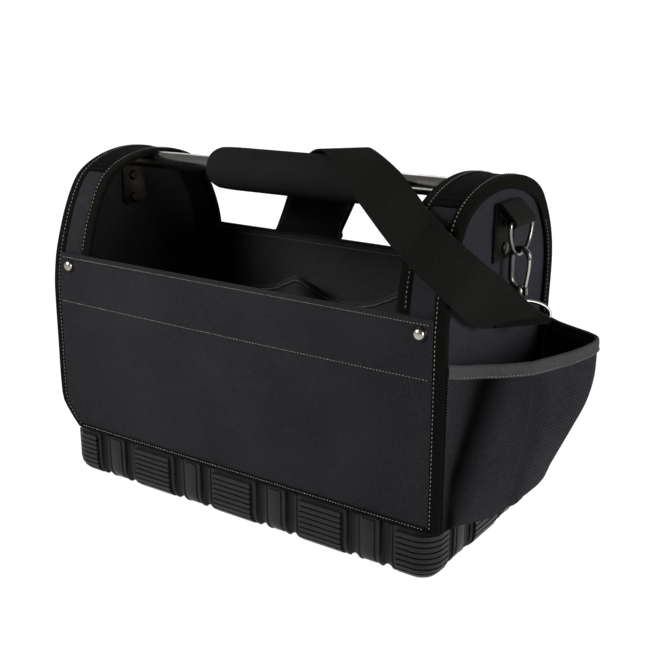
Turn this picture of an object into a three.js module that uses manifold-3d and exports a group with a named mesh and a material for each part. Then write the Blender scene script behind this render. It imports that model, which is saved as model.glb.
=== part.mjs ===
// Open-top tool bag: moulded base, cloth walls, arched ends, tube handle, shoulder strap and end pocket.
// Millimetres. +X runs along the length, +Y to the back, +Z up; the origin is under the base's middle.
// Heights of all but the base are from a level BODY_RISE over the floor.
import * as THREE from "three";
import { mergeVertices } from "three/addons/utils/BufferGeometryUtils.js";
import Module from "manifold-3d";

const wasm = await Module();
wasm.setup();

// Main sizes
const GAP = 0.3;
const BODY_RISE = 5.5;
const CLOTH = 2.2;
const HALF_LENGTH = 207;
const HALF_DEPTH = 97;
const CLOTH_BOTTOM = 43.4;
const WALL_TOP = 217;
const POCKET_TOP = 220;
const POCKET_CLOTH = 1.6;
const POCKET_BOW = 2.5;
const BAND_INNER = 169;
const BINDING_REACH = 6;
const END_WALL = 5;
const ARCH_TOP = 310.5;
const RIGHT_LIFT = 4;
const SEAM = 0.8;
const RIVET_X = 189;
const RIVET_Z = 208;

// Handle
const TUBE_Z = 299.2;
const TUBE_SLOPE = 0.011;
const TUBE_RADIUS = 8.5;
const TUBE_BORE = 7;
const GRIP_RADIUS = 20;
const GRIP_HALF = 96.5;
const BRACKET = 2.7;
const BOLT_Z = [281, 258.7];
const BOLT_SHANK = 2.2;

// Base tray
const BASE_HALF_LENGTH = 201;
const BASE_HALF_DEPTH = 92.5;
const BASE_RADIUS = 12.5;
const BASE_TOP = 48.5;
const RIM_TOP = 59.5;
const RIM_RADIUS = 12;
const BASE_WALL = 3;
const BASE_FLOOR = 4;
const BLOCK_ROUND = 16;
const BLOCK_REACH = 5.5;
const BLOCK_WIDTH = 43.5;
const BAR_REACH = 5;
const BAR_WIDTH = 17.5;
const BAR_TOP = 45.5;
const RIB_PITCH = 6.2;
const RIB_DEPTH = 2.2;
const RIB_COUNT = 7;
const LONG_LEAD = 18.5;
const SHORT_LEAD = 10;

// Hardware at the ends
const TAB_Y = 2;
const TAB_HALF_WIDTH = 18;
const RING_WIRE = 1.9;
const RING_X = 223.3;
const RING_Z = 282.8;
const HOOK_X = 224;
const GATE_PIVOT = { x: 229.2, z: 231 };

// How far the left end leans out, by height: it bellies, then tucks in under its bottom corner.
const LEFT_BELLY = [
  { z: 43, out: -13.5 },
  { z: 53, out: -4 },
  { z: 67, out: 6 },
  { z: 86, out: 8 },
  { z: 128, out: 7.5 },
  { z: 187, out: 6.5 },
  { z: 215, out: 2.6 },
  { z: 236, out: 0.4 },
  { z: 255, out: 0 },
  { z: 330, out: 0 },
];

// The end pocket, seam to seam: how far its seam, its foot and its mouth stand out, and its mouth's height.
const MOUTH = [
  { y: -93, seam: 4.6, foot: 5.5, out: 7, top: 184 },
  { y: -84, seam: 4.6, foot: 6.5, out: 8.5, top: 182 },
  { y: -72, seam: 2.2, foot: 16, out: 8.5, top: 180 },
  { y: -62, seam: 2.2, foot: 21.5, out: 22, top: 178 },
  { y: -50, seam: 2.2, foot: 25, out: 36, top: 177 },
  { y: -30, seam: 2.2, foot: 27.5, out: 46, top: 177 },
  { y: -3, seam: 2.2, foot: 30, out: 58, top: 178 },
  { y: 15, seam: 2.2, foot: 31, out: 67, top: 180 },
  { y: 33, seam: 2.2, foot: 31, out: 72, top: 182 },
  { y: 50, seam: 2.2, foot: 29, out: 67, top: 181 },
  { y: 64, seam: 2.2, foot: 25, out: 54, top: 179 },
  { y: 74, seam: 2.2, foot: 18, out: 37, top: 178 },
  { y: 83, seam: 4.6, foot: 10, out: 19, top: 178 },
  { y: 93, seam: 4.6, foot: 5.5, out: 7, top: 179 },
];

// The end pocket from its sewn bottom up: out along its floor to its foot, then up to its mouth.
const POCKET_FULLNESS = [
  { rise: 0, floor: 0, full: 0 },
  { rise: 0, floor: 0.9, full: 0 },
  { rise: 0.025, floor: 1, full: 0.03 },
  { rise: 0.1, floor: 1, full: 0.13 },
  { rise: 0.22, floor: 1, full: 0.31 },
  { rise: 0.42, floor: 1, full: 0.61 },
  { rise: 0.6, floor: 1, full: 0.86 },
  { rise: 0.78, floor: 1, full: 0.99 },
  { rise: 1, floor: 1, full: 1 },
];

// The pouches inside the back wall, left to right.
const POUCHES = [
  { x: -124, out: 1.6, top: 157 },
  { x: -108, out: 5, top: 160 },
  { x: -80, out: 17, top: 168 },
  { x: -54, out: 29, top: 180 },
  { x: -41, out: 33, top: 185 },
  { x: -31, out: 25, top: 177 },
  { x: -20, out: 7, top: 162 },
  { x: -9, out: 1.6, top: 157 },
  { x: 9, out: 4, top: 159 },
  { x: 38, out: 17, top: 168 },
  { x: 64, out: 29, top: 180 },
  { x: 77, out: 33, top: 186 },
  { x: 87, out: 25, top: 177 },
  { x: 98, out: 7, top: 162 },
  { x: 109, out: 1.6, top: 157 },
];

// The strap from the right ring over the grip to the left ring: its lower or left edge a, its other edge b.
const STRAP = [
  { a: [209.2, -17, 205.5], b: [240, 20, 205.5] },
  { a: [209.2, -17, 202.5], b: [240, 20, 202.5] },
  { a: [212.6, -19.8, 197], b: [243.4, 17.2, 197] },
  { a: [216, -22.6, 202], b: [246.8, 14.4, 202] },
  { a: [217, -49, 205], b: [243, -12, 221] },
  { a: [214, -75, 217], b: [234, -48, 247] },
  { a: [211, -104, 239], b: [225, -80, 268] },
  { a: [181, -97, 255.3], b: [206.6, -93, 287.4] },
  { a: [168.4, -93, 263.6], b: [198, -90, 292.6] },
  { a: [146.5, -76.2, 268.6], b: [188.5, -88.2, 299] },
  { a: [94.5, -38.5, 289], b: [142, -38, 308.7] },
  { a: [69, -27, 308], b: [120, -26, 320] },
  { a: [30, 1, 322.8], b: [80, 0, 328.5] },
  { a: [-2, 22, 312], b: [54, 24, 316] },
  { a: [-17, 37, 293], b: [39, 38, 294] },
  { a: [-32, 53, 276], b: [24, 53, 276] },
  { a: [-79, 100, 234], b: [-22, 100, 234] },
  { a: [-95, 111.5, 215], b: [-35, 111.5, 215] },
  { a: [-122, 110.5, 191], b: [-88, 110.5, 161] },
  { a: [-162, 109, 167], b: [-138, 109, 129] },
  { a: [-199, 106, 161], b: [-191, 106, 117] },
  { a: [-223, 101, 164], b: [-222, 101, 120] },
  { a: [-226, 77, 173], b: [-226, 63, 131] },
  { a: [-230, 50, 186], b: [-230, 22, 156] },
  { a: [-232.4, 26, 202], b: [-232.4, -20, 202] },
  { a: [-228, 26, 206.4], b: [-228, -20, 206.4] },
  { a: [-223.6, 26, 202], b: [-223.6, -20, 202] },
  { a: [-223.6, 26, 192], b: [-223.6, -20, 192] },
];
const STRAP_CLOTH = 1.8;
const PAD_FROM = 14;
const PAD_TO = 19;
const PAD_SPREAD = 1.42;
const PAD_THICK = 7.5;

const LOOK = {
  cloth: { color: 0x27282e, roughness: 0.9, metalness: 0 },
  tape: { color: 0x1a1a1c, roughness: 0.9, metalness: 0 },
  webbing: { color: 0x1b1b1d, roughness: 0.85, metalness: 0 },
  mesh: { color: 0x2d2e36, roughness: 0.8, metalness: 0 },
  mouthTape: { color: 0x4f5056, roughness: 0.85, metalness: 0 },
  rubber: { color: 0x2c2d2f, roughness: 0.75, metalness: 0 },
  foam: { color: 0x1c1c1d, roughness: 0.95, metalness: 0 },
  chrome: { color: 0xd8d4cc, roughness: 0.15, metalness: 1 },
  dullSteel: { color: 0x6e6860, roughness: 0.35, metalness: 1 },
};

const bag = new THREE.Group();
bag.name = "tool_bag";
const body = new THREE.Group();
body.name = "body";
body.position.z = BODY_RISE;
bag.add(body);

function add(name, geometry, look, group = body) {
  const mesh = new THREE.Mesh(geometry, new THREE.MeshStandardMaterial(LOOK[look]));
  mesh.name = name;
  group.add(mesh);
}

// Solids

// Faces of three or four corners as one geometry.
function fromFaces(points, faces) {
  const index = faces.flatMap((f) => (f.length === 3 ? f : [f[0], f[1], f[2], f[0], f[2], f[3]]));
  const geometry = new THREE.BufferGeometry().setFromPoints(points);
  geometry.setIndex(index);
  return facingOut(geometry);
}

// Turns a closed geometry's faces outwards if they point in.
function facingOut(geometry) {
  const flat = geometry.index ? geometry.toNonIndexed() : geometry;
  const plain = new THREE.BufferGeometry().setAttribute("position", flat.getAttribute("position"));
  const merged = mergeVertices(plain, 1e-3);
  const corners = merged.getAttribute("position");
  const at = (k) => new THREE.Vector3().fromBufferAttribute(corners, merged.index.array[k]);
  let volume = 0;
  for (let k = 0; k < merged.index.count; k += 3) volume += at(k).dot(at(k + 1).cross(at(k + 2)));
  if (volume < 0) {
    const index = merged.index.array;
    for (let k = 0; k < index.length; k += 3) [index[k], index[k + 1]] = [index[k + 1], index[k]];
  }
  return merged;
}

// A solid between two surfaces over the same square of u and v.
function slab(uSteps, vSteps, outer, inner) {
  const points = [];
  for (const face of [outer, inner]) {
    for (let j = 0; j <= vSteps; j++) {
      for (let i = 0; i <= uSteps; i++) points.push(face(i / uSteps, j / vSteps));
    }
  }
  const at = (side, i, j) => (side * (vSteps + 1) + j) * (uSteps + 1) + i;
  const faces = [];
  for (let j = 0; j < vSteps; j++) {
    for (let i = 0; i < uSteps; i++) {
      faces.push([at(0, i, j), at(0, i + 1, j), at(0, i + 1, j + 1), at(0, i, j + 1)]);
      faces.push([at(1, i, j + 1), at(1, i + 1, j + 1), at(1, i + 1, j), at(1, i, j)]);
    }
  }
  for (let i = 0; i < uSteps; i++) {
    faces.push([at(1, i, 0), at(1, i + 1, 0), at(0, i + 1, 0), at(0, i, 0)]);
    faces.push([at(0, i, vSteps), at(0, i + 1, vSteps), at(1, i + 1, vSteps), at(1, i, vSteps)]);
  }
  for (let j = 0; j < vSteps; j++) {
    faces.push([at(0, 0, j), at(0, 0, j + 1), at(1, 0, j + 1), at(1, 0, j)]);
    faces.push([at(1, uSteps, j), at(1, uSteps, j + 1), at(0, uSteps, j + 1), at(0, uSteps, j)]);
  }
  return fromFaces(points, faces);
}

// A flat section carried through frames that each give a point and two directions.
function sweep(section, frames, loop = false) {
  const outline = section.map(([a, b]) => new THREE.Vector2(a, b));
  if (THREE.ShapeUtils.isClockWise(outline)) outline.reverse();
  const n = outline.length;
  const points = frames.flatMap((f) =>
    outline.map((p) => f.at.clone().addScaledVector(f.across, p.x).addScaledVector(f.up, p.y)),
  );
  const faces = [];
  const spans = loop ? frames.length : frames.length - 1;
  for (let k = 0; k < spans; k++) {
    const here = k * n;
    const next = ((k + 1) % frames.length) * n;
    for (let i = 0; i < n; i++) {
      const j = (i + 1) % n;
      faces.push([here + i, here + j, next + j, next + i]);
    }
  }
  if (!loop) {
    const last = (frames.length - 1) * n;
    for (const [i, j, k] of THREE.ShapeUtils.triangulateShape(outline, [])) {
      faces.push([k, j, i]);
      faces.push([last + i, last + j, last + k]);
    }
  }
  return fromFaces(points, faces);
}

// A profile of radius and height turned about an axis, then laid along x, y or z.
function turned(profile, sides, axis) {
  const lathe = new THREE.LatheGeometry(profile.map(([r, h]) => new THREE.Vector2(r, h)), sides);
  if (axis === "x") lathe.rotateZ(-Math.PI / 2);
  if (axis === "z") lathe.rotateX(Math.PI / 2);
  return facingOut(lathe);
}

function box(low, high) {
  const size = low.map((value, k) => high[k] - value);
  const middle = low.map((value, k) => (high[k] + value) / 2);
  return new THREE.BoxGeometry(...size).translate(...middle);
}

function solid(geometry) {
  const g = facingOut(geometry);
  const mesh = new wasm.Mesh({
    numProp: 3,
    vertProperties: new Float32Array(g.attributes.position.array),
    triVerts: new Uint32Array(g.index.array),
  });
  return new wasm.Manifold(mesh);
}

function geometryOf(manifold) {
  const mesh = manifold.getMesh();
  const geometry = new THREE.BufferGeometry();
  geometry.setAttribute("position", new THREE.BufferAttribute(new Float32Array(mesh.vertProperties), 3));
  geometry.setIndex(new THREE.BufferAttribute(new Uint32Array(mesh.triVerts), 1));
  return geometry;
}

function join(pieces) {
  return geometryOf(pieces.map(solid).reduce((all, piece) => all.add(piece)));
}

function cut(body, tools) {
  return geometryOf(tools.map(solid).reduce((left, tool) => left.subtract(tool), solid(body)));
}

// Reading the tables

const ease = (t) => {
  const c = Math.min(Math.max(t, 0), 1);
  return c * c * (3 - 2 * c);
};

// A column of a table at a value of its key column, smooth between rows.
function lookUp(table, key, column, value) {
  let k = table.findIndex((row) => row[key] >= value);
  if (k === -1) k = table.length - 1;
  k = Math.max(k, 1);
  const low = table[k - 1];
  const high = table[k];
  const t = Math.min(Math.max((value - low[key]) / (high[key] - low[key]), 0), 1);
  const before = table[Math.max(k - 2, 0)][column];
  const after = table[Math.min(k + 1, table.length - 1)][column];
  return catmull(before, low[column], high[column], after, t);
}

function catmull(p0, p1, p2, p3, t) {
  const c = -p0 + 3 * p1 - 3 * p2 + p3;
  const b = 2 * p0 - 5 * p1 + 4 * p2 - p3;
  return p1 + 0.5 * t * (p2 - p0 + t * (b + t * c));
}

// The arch

const arch = new THREE.Path();
arch.moveTo(HALF_DEPTH, CLOTH_BOTTOM);
arch.lineTo(HALF_DEPTH, 200);
arch.bezierCurveTo(97, 240, 86, 270, 72, 287);
arch.bezierCurveTo(59, 303, 25, ARCH_TOP, 0, ARCH_TOP);
const ARCH_LENGTH = arch.getLength();

// The arch's outline from the front bottom (0) over the top (1) to the back bottom (2).
function archAt(s, offset = 0) {
  const t = s <= 1 ? s : 2 - s;
  const face = s <= 1 ? -1 : 1;
  const point = arch.getPoint(t);
  const run = arch.getTangent(t);
  const normal = new THREE.Vector2(face * run.y, -run.x);
  return { y: face * point.x + normal.x * offset, z: point.y + normal.y * offset, normal };
}

// The place on the upright side of the arch at a height, as a fraction of the front half.
const archFraction = (z) => (z - CLOTH_BOTTOM) / ARCH_LENGTH;

// Steps along the front half: close together at the tuck and round the shoulder.
const LEFT_HEIGHTS = [CLOTH_BOTTOM, 50, 58, 67, 80, 110, 155, 200];
const RIGHT_HEIGHTS = [CLOTH_BOTTOM, 200];
const UPPER_STEPS = [0.54, 0.6, 0.66, 0.715, 0.76, SEAM, 0.86, 0.93, 1];

function halfSteps(side) {
  const heights = side < 0 ? LEFT_HEIGHTS : RIGHT_HEIGHTS;
  return [...heights.map(archFraction), ...UPPER_STEPS];
}

function fullSteps(side) {
  const half = halfSteps(side);
  return [...half, ...half.slice(0, -1).reverse().map((s) => 2 - s)];
}

// A distance out along an end as x, with the left end's belly worked in, and its tuck at the corners.
function endX(side, reach, z, y = HALF_DEPTH) {
  if (side > 0) return reach;
  const belly = lookUp(LEFT_BELLY, "z", "out", z);
  const share = belly < 0 ? ease((Math.abs(y) - 68) / 20) : 1;
  return -(reach + belly * share * ease((reach - 150) / 50));
}

// The right arch's top stands higher than the left one's.
const archLift = (side, z) => (side > 0 ? RIGHT_LIFT * ease((z - 200) / 100) : 0);

// A strip of the arch's cloth between two steps of a list, at one end of the bag.
function archStrip(side, reachFrom, reachTo, steps) {
  const uSteps = side < 0 ? 3 : 1;
  const surface = (offset) => (u, v) => {
    const p = archAt(steps[Math.round(v * (steps.length - 1))], offset);
    const reach = reachFrom + (reachTo - reachFrom) * u;
    return new THREE.Vector3(endX(side, reach, p.z), p.y, p.z + archLift(side, p.z));
  };
  return slab(uSteps, steps.length - 1, surface(0), surface(-CLOTH));
}

// A section swept along the arch at one end: pairs of reach past a band's line, and offset from its face.
function archTape(side, line, section, steps) {
  const frames = steps.map((s) => {
    const p = archAt(s);
    return {
      at: new THREE.Vector3(endX(side, line, p.z), p.y, p.z + archLift(side, p.z)),
      across: new THREE.Vector3(side, 0, 0),
      up: new THREE.Vector3(0, p.normal.x, p.normal.y),
    };
  });
  return sweep(section, frames);
}

// Walls

const rivetX = (side) => endX(side, RIVET_X, RIVET_Z);

function rivetHoles(face) {
  return [-1, 1].map((side) =>
    new THREE.CylinderGeometry(2.6, 2.6, 20, 8).translate(rivetX(side), face * HALF_DEPTH, RIVET_Z),
  );
}

function longWall(face) {
  const inner = face * (HALF_DEPTH - CLOTH);
  const outer = face * HALF_DEPTH;
  const middle = box(
    [-BAND_INNER - 2, Math.min(inner, outer), CLOTH_BOTTOM],
    [BAND_INNER + 2, Math.max(inner, outer), WALL_TOP],
  );
  const ears = [-1, 1].map((side) => {
    const steps = halfSteps(side).filter((s) => s <= SEAM);
    return archStrip(side, BAND_INNER, HALF_LENGTH, steps.map((s) => (face < 0 ? s : 2 - s)));
  });
  return cut(join([middle, ...ears]), rivetHoles(face));
}

function flatPocket(face, bow) {
  const heights = [...LEFT_HEIGHTS, POCKET_TOP];
  const reach = HALF_LENGTH - BINDING_REACH - 2 * GAP;
  const columns = [-1, -0.92, -0.8, -0.4, 0.2, 1];
  const surface = (offset) => (u, v) => {
    const z = heights[Math.round(v * (heights.length - 1))];
    const c = columns[Math.round(u * (columns.length - 1))];
    const rise = (z - CLOTH_BOTTOM) / (POCKET_TOP - CLOTH_BOTTOM);
    const belly = bow * Math.cos((c * Math.PI) / 2) * Math.sin(rise * Math.PI);
    const y = face * (HALF_DEPTH + offset + belly);
    return new THREE.Vector3(endX(Math.sign(c), Math.abs(c) * reach, z), y, z);
  };
  const sheet = slab(columns.length - 1, heights.length - 1, surface(GAP + POCKET_CLOTH), surface(GAP));
  return cut(sheet, rivetHoles(face));
}

function rivet(side, face) {
  const back = -CLOTH - GAP - 0.6;
  const front = GAP + POCKET_CLOTH + GAP + 0.2;
  const profile = [
    [0, back - 1.8],
    [4.2, back - 1.4],
    [4.2, back],
    [2, back],
    [2, front],
    [5.4, front],
    [5.4, front + 0.8],
    [3.8, front + 2.5],
    [0, front + 3.3],
  ];
  const geometry = turned(profile, 8, "y");
  if (face < 0) geometry.rotateX(Math.PI);
  return facingOut(geometry.translate(rivetX(side), face * HALF_DEPTH, RIVET_Z));
}

function boltHoles(side) {
  return BOLT_Z.map((z) =>
    new THREE.CylinderGeometry(BOLT_SHANK + 0.6, BOLT_SHANK + 0.6, 20, 8)
      .rotateZ(Math.PI / 2)
      .translate(side * (HALF_LENGTH - 5), TAB_Y, z),
  );
}

function endWall(side) {
  const steps = halfSteps(side).filter((s) => s < 0.98);
  const columns = side < 0 ? [1, 0.93, 0.72, -0.72, -0.93, -1] : [1, 0, -1];
  const surface = (reach) => (u, v) => {
    const p = archAt(steps[Math.round(v * (steps.length - 1))], -CLOTH - GAP);
    const y = p.y * columns[Math.round(u * (columns.length - 1))];
    return new THREE.Vector3(endX(side, reach, p.z, y), y, p.z + archLift(side, p.z));
  };
  const inside = surface(HALF_LENGTH - END_WALL);
  const wall = slab(columns.length - 1, steps.length - 1, surface(HALF_LENGTH), inside);
  return cut(wall, boltHoles(side));
}

const EDGE_TAPE = [
  [-BINDING_REACH, GAP],
  [GAP, GAP],
  [GAP, -8],
  [2.5, -8],
  [2.5, 1.2],
  [1.6, 2],
  [-BINDING_REACH, 2],
];

const INNER_TAPE = [
  [8, GAP],
  [8, 1.2],
  [-2.2, 1.2],
  [-2.2, -3.4],
  [7, -3.4],
  [7, -2.5],
  [-GAP, -2.5],
  [-GAP, GAP],
];

for (const [face, name] of [[-1, "front"], [1, "back"]]) {
  add(`${name}_wall`, longWall(face), "cloth");
  add(`${name}_pocket`, flatPocket(face, face < 0 ? POCKET_BOW : 0), "cloth");
  add(`${name}_left_rivet`, rivet(-1, face), "dullSteel");
  add(`${name}_right_rivet`, rivet(1, face), "dullSteel");
}

// The steps of the whole arch between two of its places, with those places as the first and the last.
function stepsBetween(from, to) {
  return [from, ...fullSteps(1).filter((s) => s > from + 0.02 && s < to - 0.02), to];
}

const bandSteps = stepsBetween(SEAM + 0.001, 2 - SEAM - 0.001);
const tapeStart = archFraction(POCKET_TOP + 1);
const innerTapeSteps = stepsBetween(tapeStart, 2 - tapeStart);
for (const [side, name] of [[-1, "left"], [1, "right"]]) {
  add(`${name}_end_wall`, endWall(side), "cloth");
  add(`${name}_top_band`, archStrip(side, BAND_INNER, HALF_LENGTH, bandSteps), "tape");
  add(`${name}_edge_binding`, archTape(side, HALF_LENGTH, EDGE_TAPE, fullSteps(side)), "tape");
  add(`${name}_inner_binding`, archTape(side, BAND_INNER, INNER_TAPE, innerTapeSteps), "tape");
}

// Base tray

// A rounded rectangle's corners and sides as loop points, pushed in by an inset.
function trayLoop(halfX, halfY, radius, z, inset = 0, centreX = 0) {
  const points = [];
  const turns = [[1, -1, -90], [1, 1, 0], [-1, 1, 90], [-1, -1, 180]];
  for (const [sx, sy, start] of turns) {
    for (let k = 0; k <= 3; k++) {
      const angle = THREE.MathUtils.degToRad(start + 30 * k);
      const r = radius - inset;
      const x = centreX + sx * (halfX - radius) + r * Math.cos(angle);
      points.push(new THREE.Vector3(x, sy * (halfY - radius) + r * Math.sin(angle), z));
    }
  }
  return points;
}

// A solid of stacked loops, closed flat at the bottom and the top.
function stacked(loops) {
  const n = loops[0].length;
  const points = loops.flat();
  const faces = [];
  for (let k = 0; k < loops.length - 1; k++) {
    for (let i = 0; i < n; i++) {
      const j = (i + 1) % n;
      faces.push([k * n + i, k * n + j, (k + 1) * n + j, (k + 1) * n + i]);
    }
  }
  const last = (loops.length - 1) * n;
  for (let i = 1; i < n - 1; i++) {
    faces.push([0, i + 1, i]);
    faces.push([last, last + i, last + i + 1]);
  }
  return fromFaces(points, faces);
}

// The tray's outer face steps in towards the floor along a rounded edge.
const TRAY_EDGE = [
  { z: 0, inset: 10 },
  { z: 2.5, inset: 5 },
  { z: 7, inset: 1.6 },
  { z: 13, inset: 0 },
  { z: BASE_TOP, inset: 0 },
];
const TRAY_HOLLOW = [
  { z: BASE_FLOOR, inset: 9 },
  { z: 12, inset: BASE_WALL },
  { z: RIM_TOP + 4, inset: BASE_WALL },
];

function trayShell() {
  const tray = (z, inset) => trayLoop(BASE_HALF_LENGTH, BASE_HALF_DEPTH, BASE_RADIUS, z, inset);
  const outside = stacked(TRAY_EDGE.map((row) => tray(row.z, row.inset)));
  const hollow = stacked(TRAY_HOLLOW.map((row) => tray(row.z, row.inset)));
  const rimRight = HALF_LENGTH - END_WALL - GAP;
  const rimLeft = -endX(-1, HALF_LENGTH - END_WALL, CLOTH_BOTTOM) - GAP;
  const rimLoop = (z, inset) =>
    trayLoop(
      (rimRight + rimLeft) / 2,
      HALF_DEPTH - CLOTH - GAP,
      RIM_RADIUS,
      z,
      inset,
      (rimRight - rimLeft) / 2,
    );
  const rim = stacked([rimLoop(BASE_TOP - 5, 0), rimLoop(RIM_TOP, 0)]);
  const rimHollow = stacked([rimLoop(BASE_TOP - 10, 2.5), rimLoop(RIM_TOP + 6, 2.5)]);
  const ledge = stacked([tray(BASE_TOP - 3, 0), tray(BASE_TOP, 0)]);
  return join([cut(outside, [hollow]), cut(join([rim, ledge]), [rimHollow])]);
}

// The inner side of a rib block or a bar, sunk in the tray's wall.
const SUNK = [[-1.5, 12], [-5, 3.6]];

// How far a block's face draws in towards the floor.
function blockInset(z) {
  const over = Math.max(BLOCK_ROUND - z, 0);
  return BLOCK_ROUND - Math.sqrt(BLOCK_ROUND ** 2 - over ** 2);
}

// Ribs from the floor up, as reach out from the tray's face and height.
function ribProfile() {
  const profile = [...SUNK];
  for (let k = 0; k < RIB_COUNT; k++) {
    const middle = 6 + RIB_PITCH * k;
    const valley = middle - 2.8;
    profile.push([BLOCK_REACH - RIB_DEPTH - blockInset(valley), valley]);
    profile.push([BLOCK_REACH - blockInset(middle), middle]);
  }
  profile.push([-1.5, BASE_TOP - 0.5]);
  return profile;
}

// The smooth bars between the rib blocks, with the same rounded foot.
function barProfile() {
  const foot = [3.2, 6, 10, BLOCK_ROUND].map((z) => [BAR_REACH - blockInset(z), z]);
  return [...SUNK, ...foot, [BAR_REACH, BAR_TOP], [-1.5, BAR_TOP]];
}

// A profile run along one side of the tray; the side is where its face looks.
function alongSide(profile, facing, middle, width) {
  const across = { front: [0, -1, 0], back: [0, 1, 0], left: [-1, 0, 0], right: [1, 0, 0] }[facing];
  const isLong = facing === "front" || facing === "back";
  const outward = new THREE.Vector3(...across);
  const face = isLong ? BASE_HALF_DEPTH : BASE_HALF_LENGTH;
  const along = isLong ? new THREE.Vector3(1, 0, 0) : new THREE.Vector3(0, 1, 0);
  const frames = [-width / 2, width / 2].map((step) => ({
    at: outward.clone().multiplyScalar(face).addScaledVector(along, middle + step),
    across: outward,
    up: new THREE.Vector3(0, 0, 1),
  }));
  return sweep(profile, frames);
}

// A ribbed block round one corner, with a straight lead along each side.
function cornerBlock(sx, sy) {
  const start = Math.atan2(sy, sx) - Math.PI / 4;
  const middleX = sx * (BASE_HALF_LENGTH - BASE_RADIUS);
  const middleY = sy * (BASE_HALF_DEPTH - BASE_RADIUS);
  const centre = new THREE.Vector3(middleX, middleY, 0);
  const steps = 3;
  const frames = [];
  for (let k = -1; k <= steps + 1; k++) {
    const angle = start + (Math.min(Math.max(k, 0), steps) / steps) * (Math.PI / 2);
    const out = new THREE.Vector3(Math.cos(angle), Math.sin(angle), 0);
    const run = new THREE.Vector3(-out.y, out.x, 0);
    const lead = Math.abs(out.y) > 0.5 ? LONG_LEAD : SHORT_LEAD;
    const push = k < 0 ? -lead : k > steps ? lead : 0;
    frames.push({
      at: centre.clone().addScaledVector(out, BASE_RADIUS).addScaledVector(run, push),
      across: out,
      up: new THREE.Vector3(0, 0, 1),
    });
  }
  return sweep(ribProfile(), frames);
}

function baseTray() {
  const pieces = [trayShell()];
  for (const sx of [-1, 1]) {
    for (const sy of [-1, 1]) pieces.push(cornerBlock(sx, sy));
  }
  for (const facing of ["front", "back"]) {
    for (const x of [-98, -1, 96]) pieces.push(alongSide(ribProfile(), facing, x, BLOCK_WIDTH));
    for (const x of [-146, -50, 47.5, 144]) pieces.push(alongSide(barProfile(), facing, x, BAR_WIDTH));
  }
  for (const facing of ["left", "right"]) {
    pieces.push(alongSide(ribProfile(), facing, 0, BLOCK_WIDTH));
    for (const y of [-46, 46]) pieces.push(alongSide(barProfile(), facing, y, BAR_WIDTH));
  }
  return join(pieces);
}

add("base_tray", baseTray(), "rubber", bag);

// Handle

const bracketInner = HALF_LENGTH - END_WALL - GAP - BRACKET;
const tubeHalf = bracketInner - GAP;
const tubeProfile = [
  [TUBE_BORE, -tubeHalf],
  [TUBE_RADIUS, -tubeHalf],
  [TUBE_RADIUS, tubeHalf],
  [TUBE_BORE, tubeHalf],
];

// A piece turned about the tube's line, which rises a little to the right.
function onTube(profile, sides) {
  return turned(profile, sides, "x").rotateY(-TUBE_SLOPE).translate(0, 0, TUBE_Z);
}

add("handle_tube", onTube([...tubeProfile, tubeProfile[0]], 18), "chrome");

function grip() {
  const bore = TUBE_RADIUS + GAP;
  const half = [
    [bore, GRIP_HALF],
    [13.8, GRIP_HALF],
    [16.6, GRIP_HALF - 2.5],
    [18.7, GRIP_HALF - 8],
    [19.7, GRIP_HALF - 16],
    [GRIP_RADIUS, GRIP_HALF - 26],
  ];
  const other = half.map(([r, h]) => [r, -h]).reverse();
  return onTube([...half, ...other, half[0]], 16);
}

add("grip", grip(), "foam");

function roundedPlate(halfWidth, low, high, radius) {
  const shape = new THREE.Shape();
  shape.moveTo(-halfWidth + radius, low);
  shape.lineTo(halfWidth - radius, low);
  shape.absarc(halfWidth - radius, low + radius, radius, -Math.PI / 2, 0, false);
  shape.absarc(halfWidth - radius, high - radius, radius, 0, Math.PI / 2, false);
  shape.absarc(-halfWidth + radius, high - radius, radius, Math.PI / 2, Math.PI, false);
  shape.absarc(-halfWidth + radius, low + radius, radius, Math.PI, Math.PI * 1.5, false);
  return shape;
}

function bracket(side) {
  const plugZ = TUBE_Z + side * TUBE_SLOPE * bracketInner;
  const shape = roundedPlate(15, 250, plugZ + 7.8, 6);
  const plate = new THREE.ExtrudeGeometry(shape, { depth: BRACKET, bevelEnabled: false, curveSegments: 4 });
  plate.rotateX(Math.PI / 2).rotateZ(Math.PI / 2);
  plate.translate(side > 0 ? bracketInner : -bracketInner - BRACKET, 0, 0);
  const plug = new THREE.CylinderGeometry(TUBE_BORE - GAP, TUBE_BORE - GAP, 14, 10).rotateZ(Math.PI / 2);
  plug.translate(side * (bracketInner - 6), 0, plugZ);
  return cut(join([plate, plug]), boltHoles(side));
}

function bolt(side, z) {
  const inside = bracketInner - GAP - HALF_LENGTH;
  const outside = GAP + 2.2 + GAP + 0.2;
  const profile = [
    [0, inside - 3],
    [3, inside - 2.8],
    [4.8, inside - 1.4],
    [5, inside],
    [BOLT_SHANK, inside],
    [BOLT_SHANK, outside],
    [5, outside],
    [4.6, outside + 1.5],
    [0, outside + 2.2],
  ];
  const geometry = turned(profile, 8, "x");
  if (side < 0) geometry.rotateZ(Math.PI);
  return facingOut(geometry.translate(side * HALF_LENGTH, TAB_Y, z));
}

// Tabs, rings and hooks

// The tab's side view: up the end wall, out over the ring's bar and back round it.
const TAB_PATH = [
  [1.4, 249],
  [1.4, 287],
  [2.8, 292],
  [6.5, 295.5],
  [12, 295.5],
  [17.5, 292],
  [20.4, 286.5],
  [19.6, 281.5],
  [16, 279.3],
  [12.7, 281.6],
  [12.6, 285.4],
];

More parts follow.
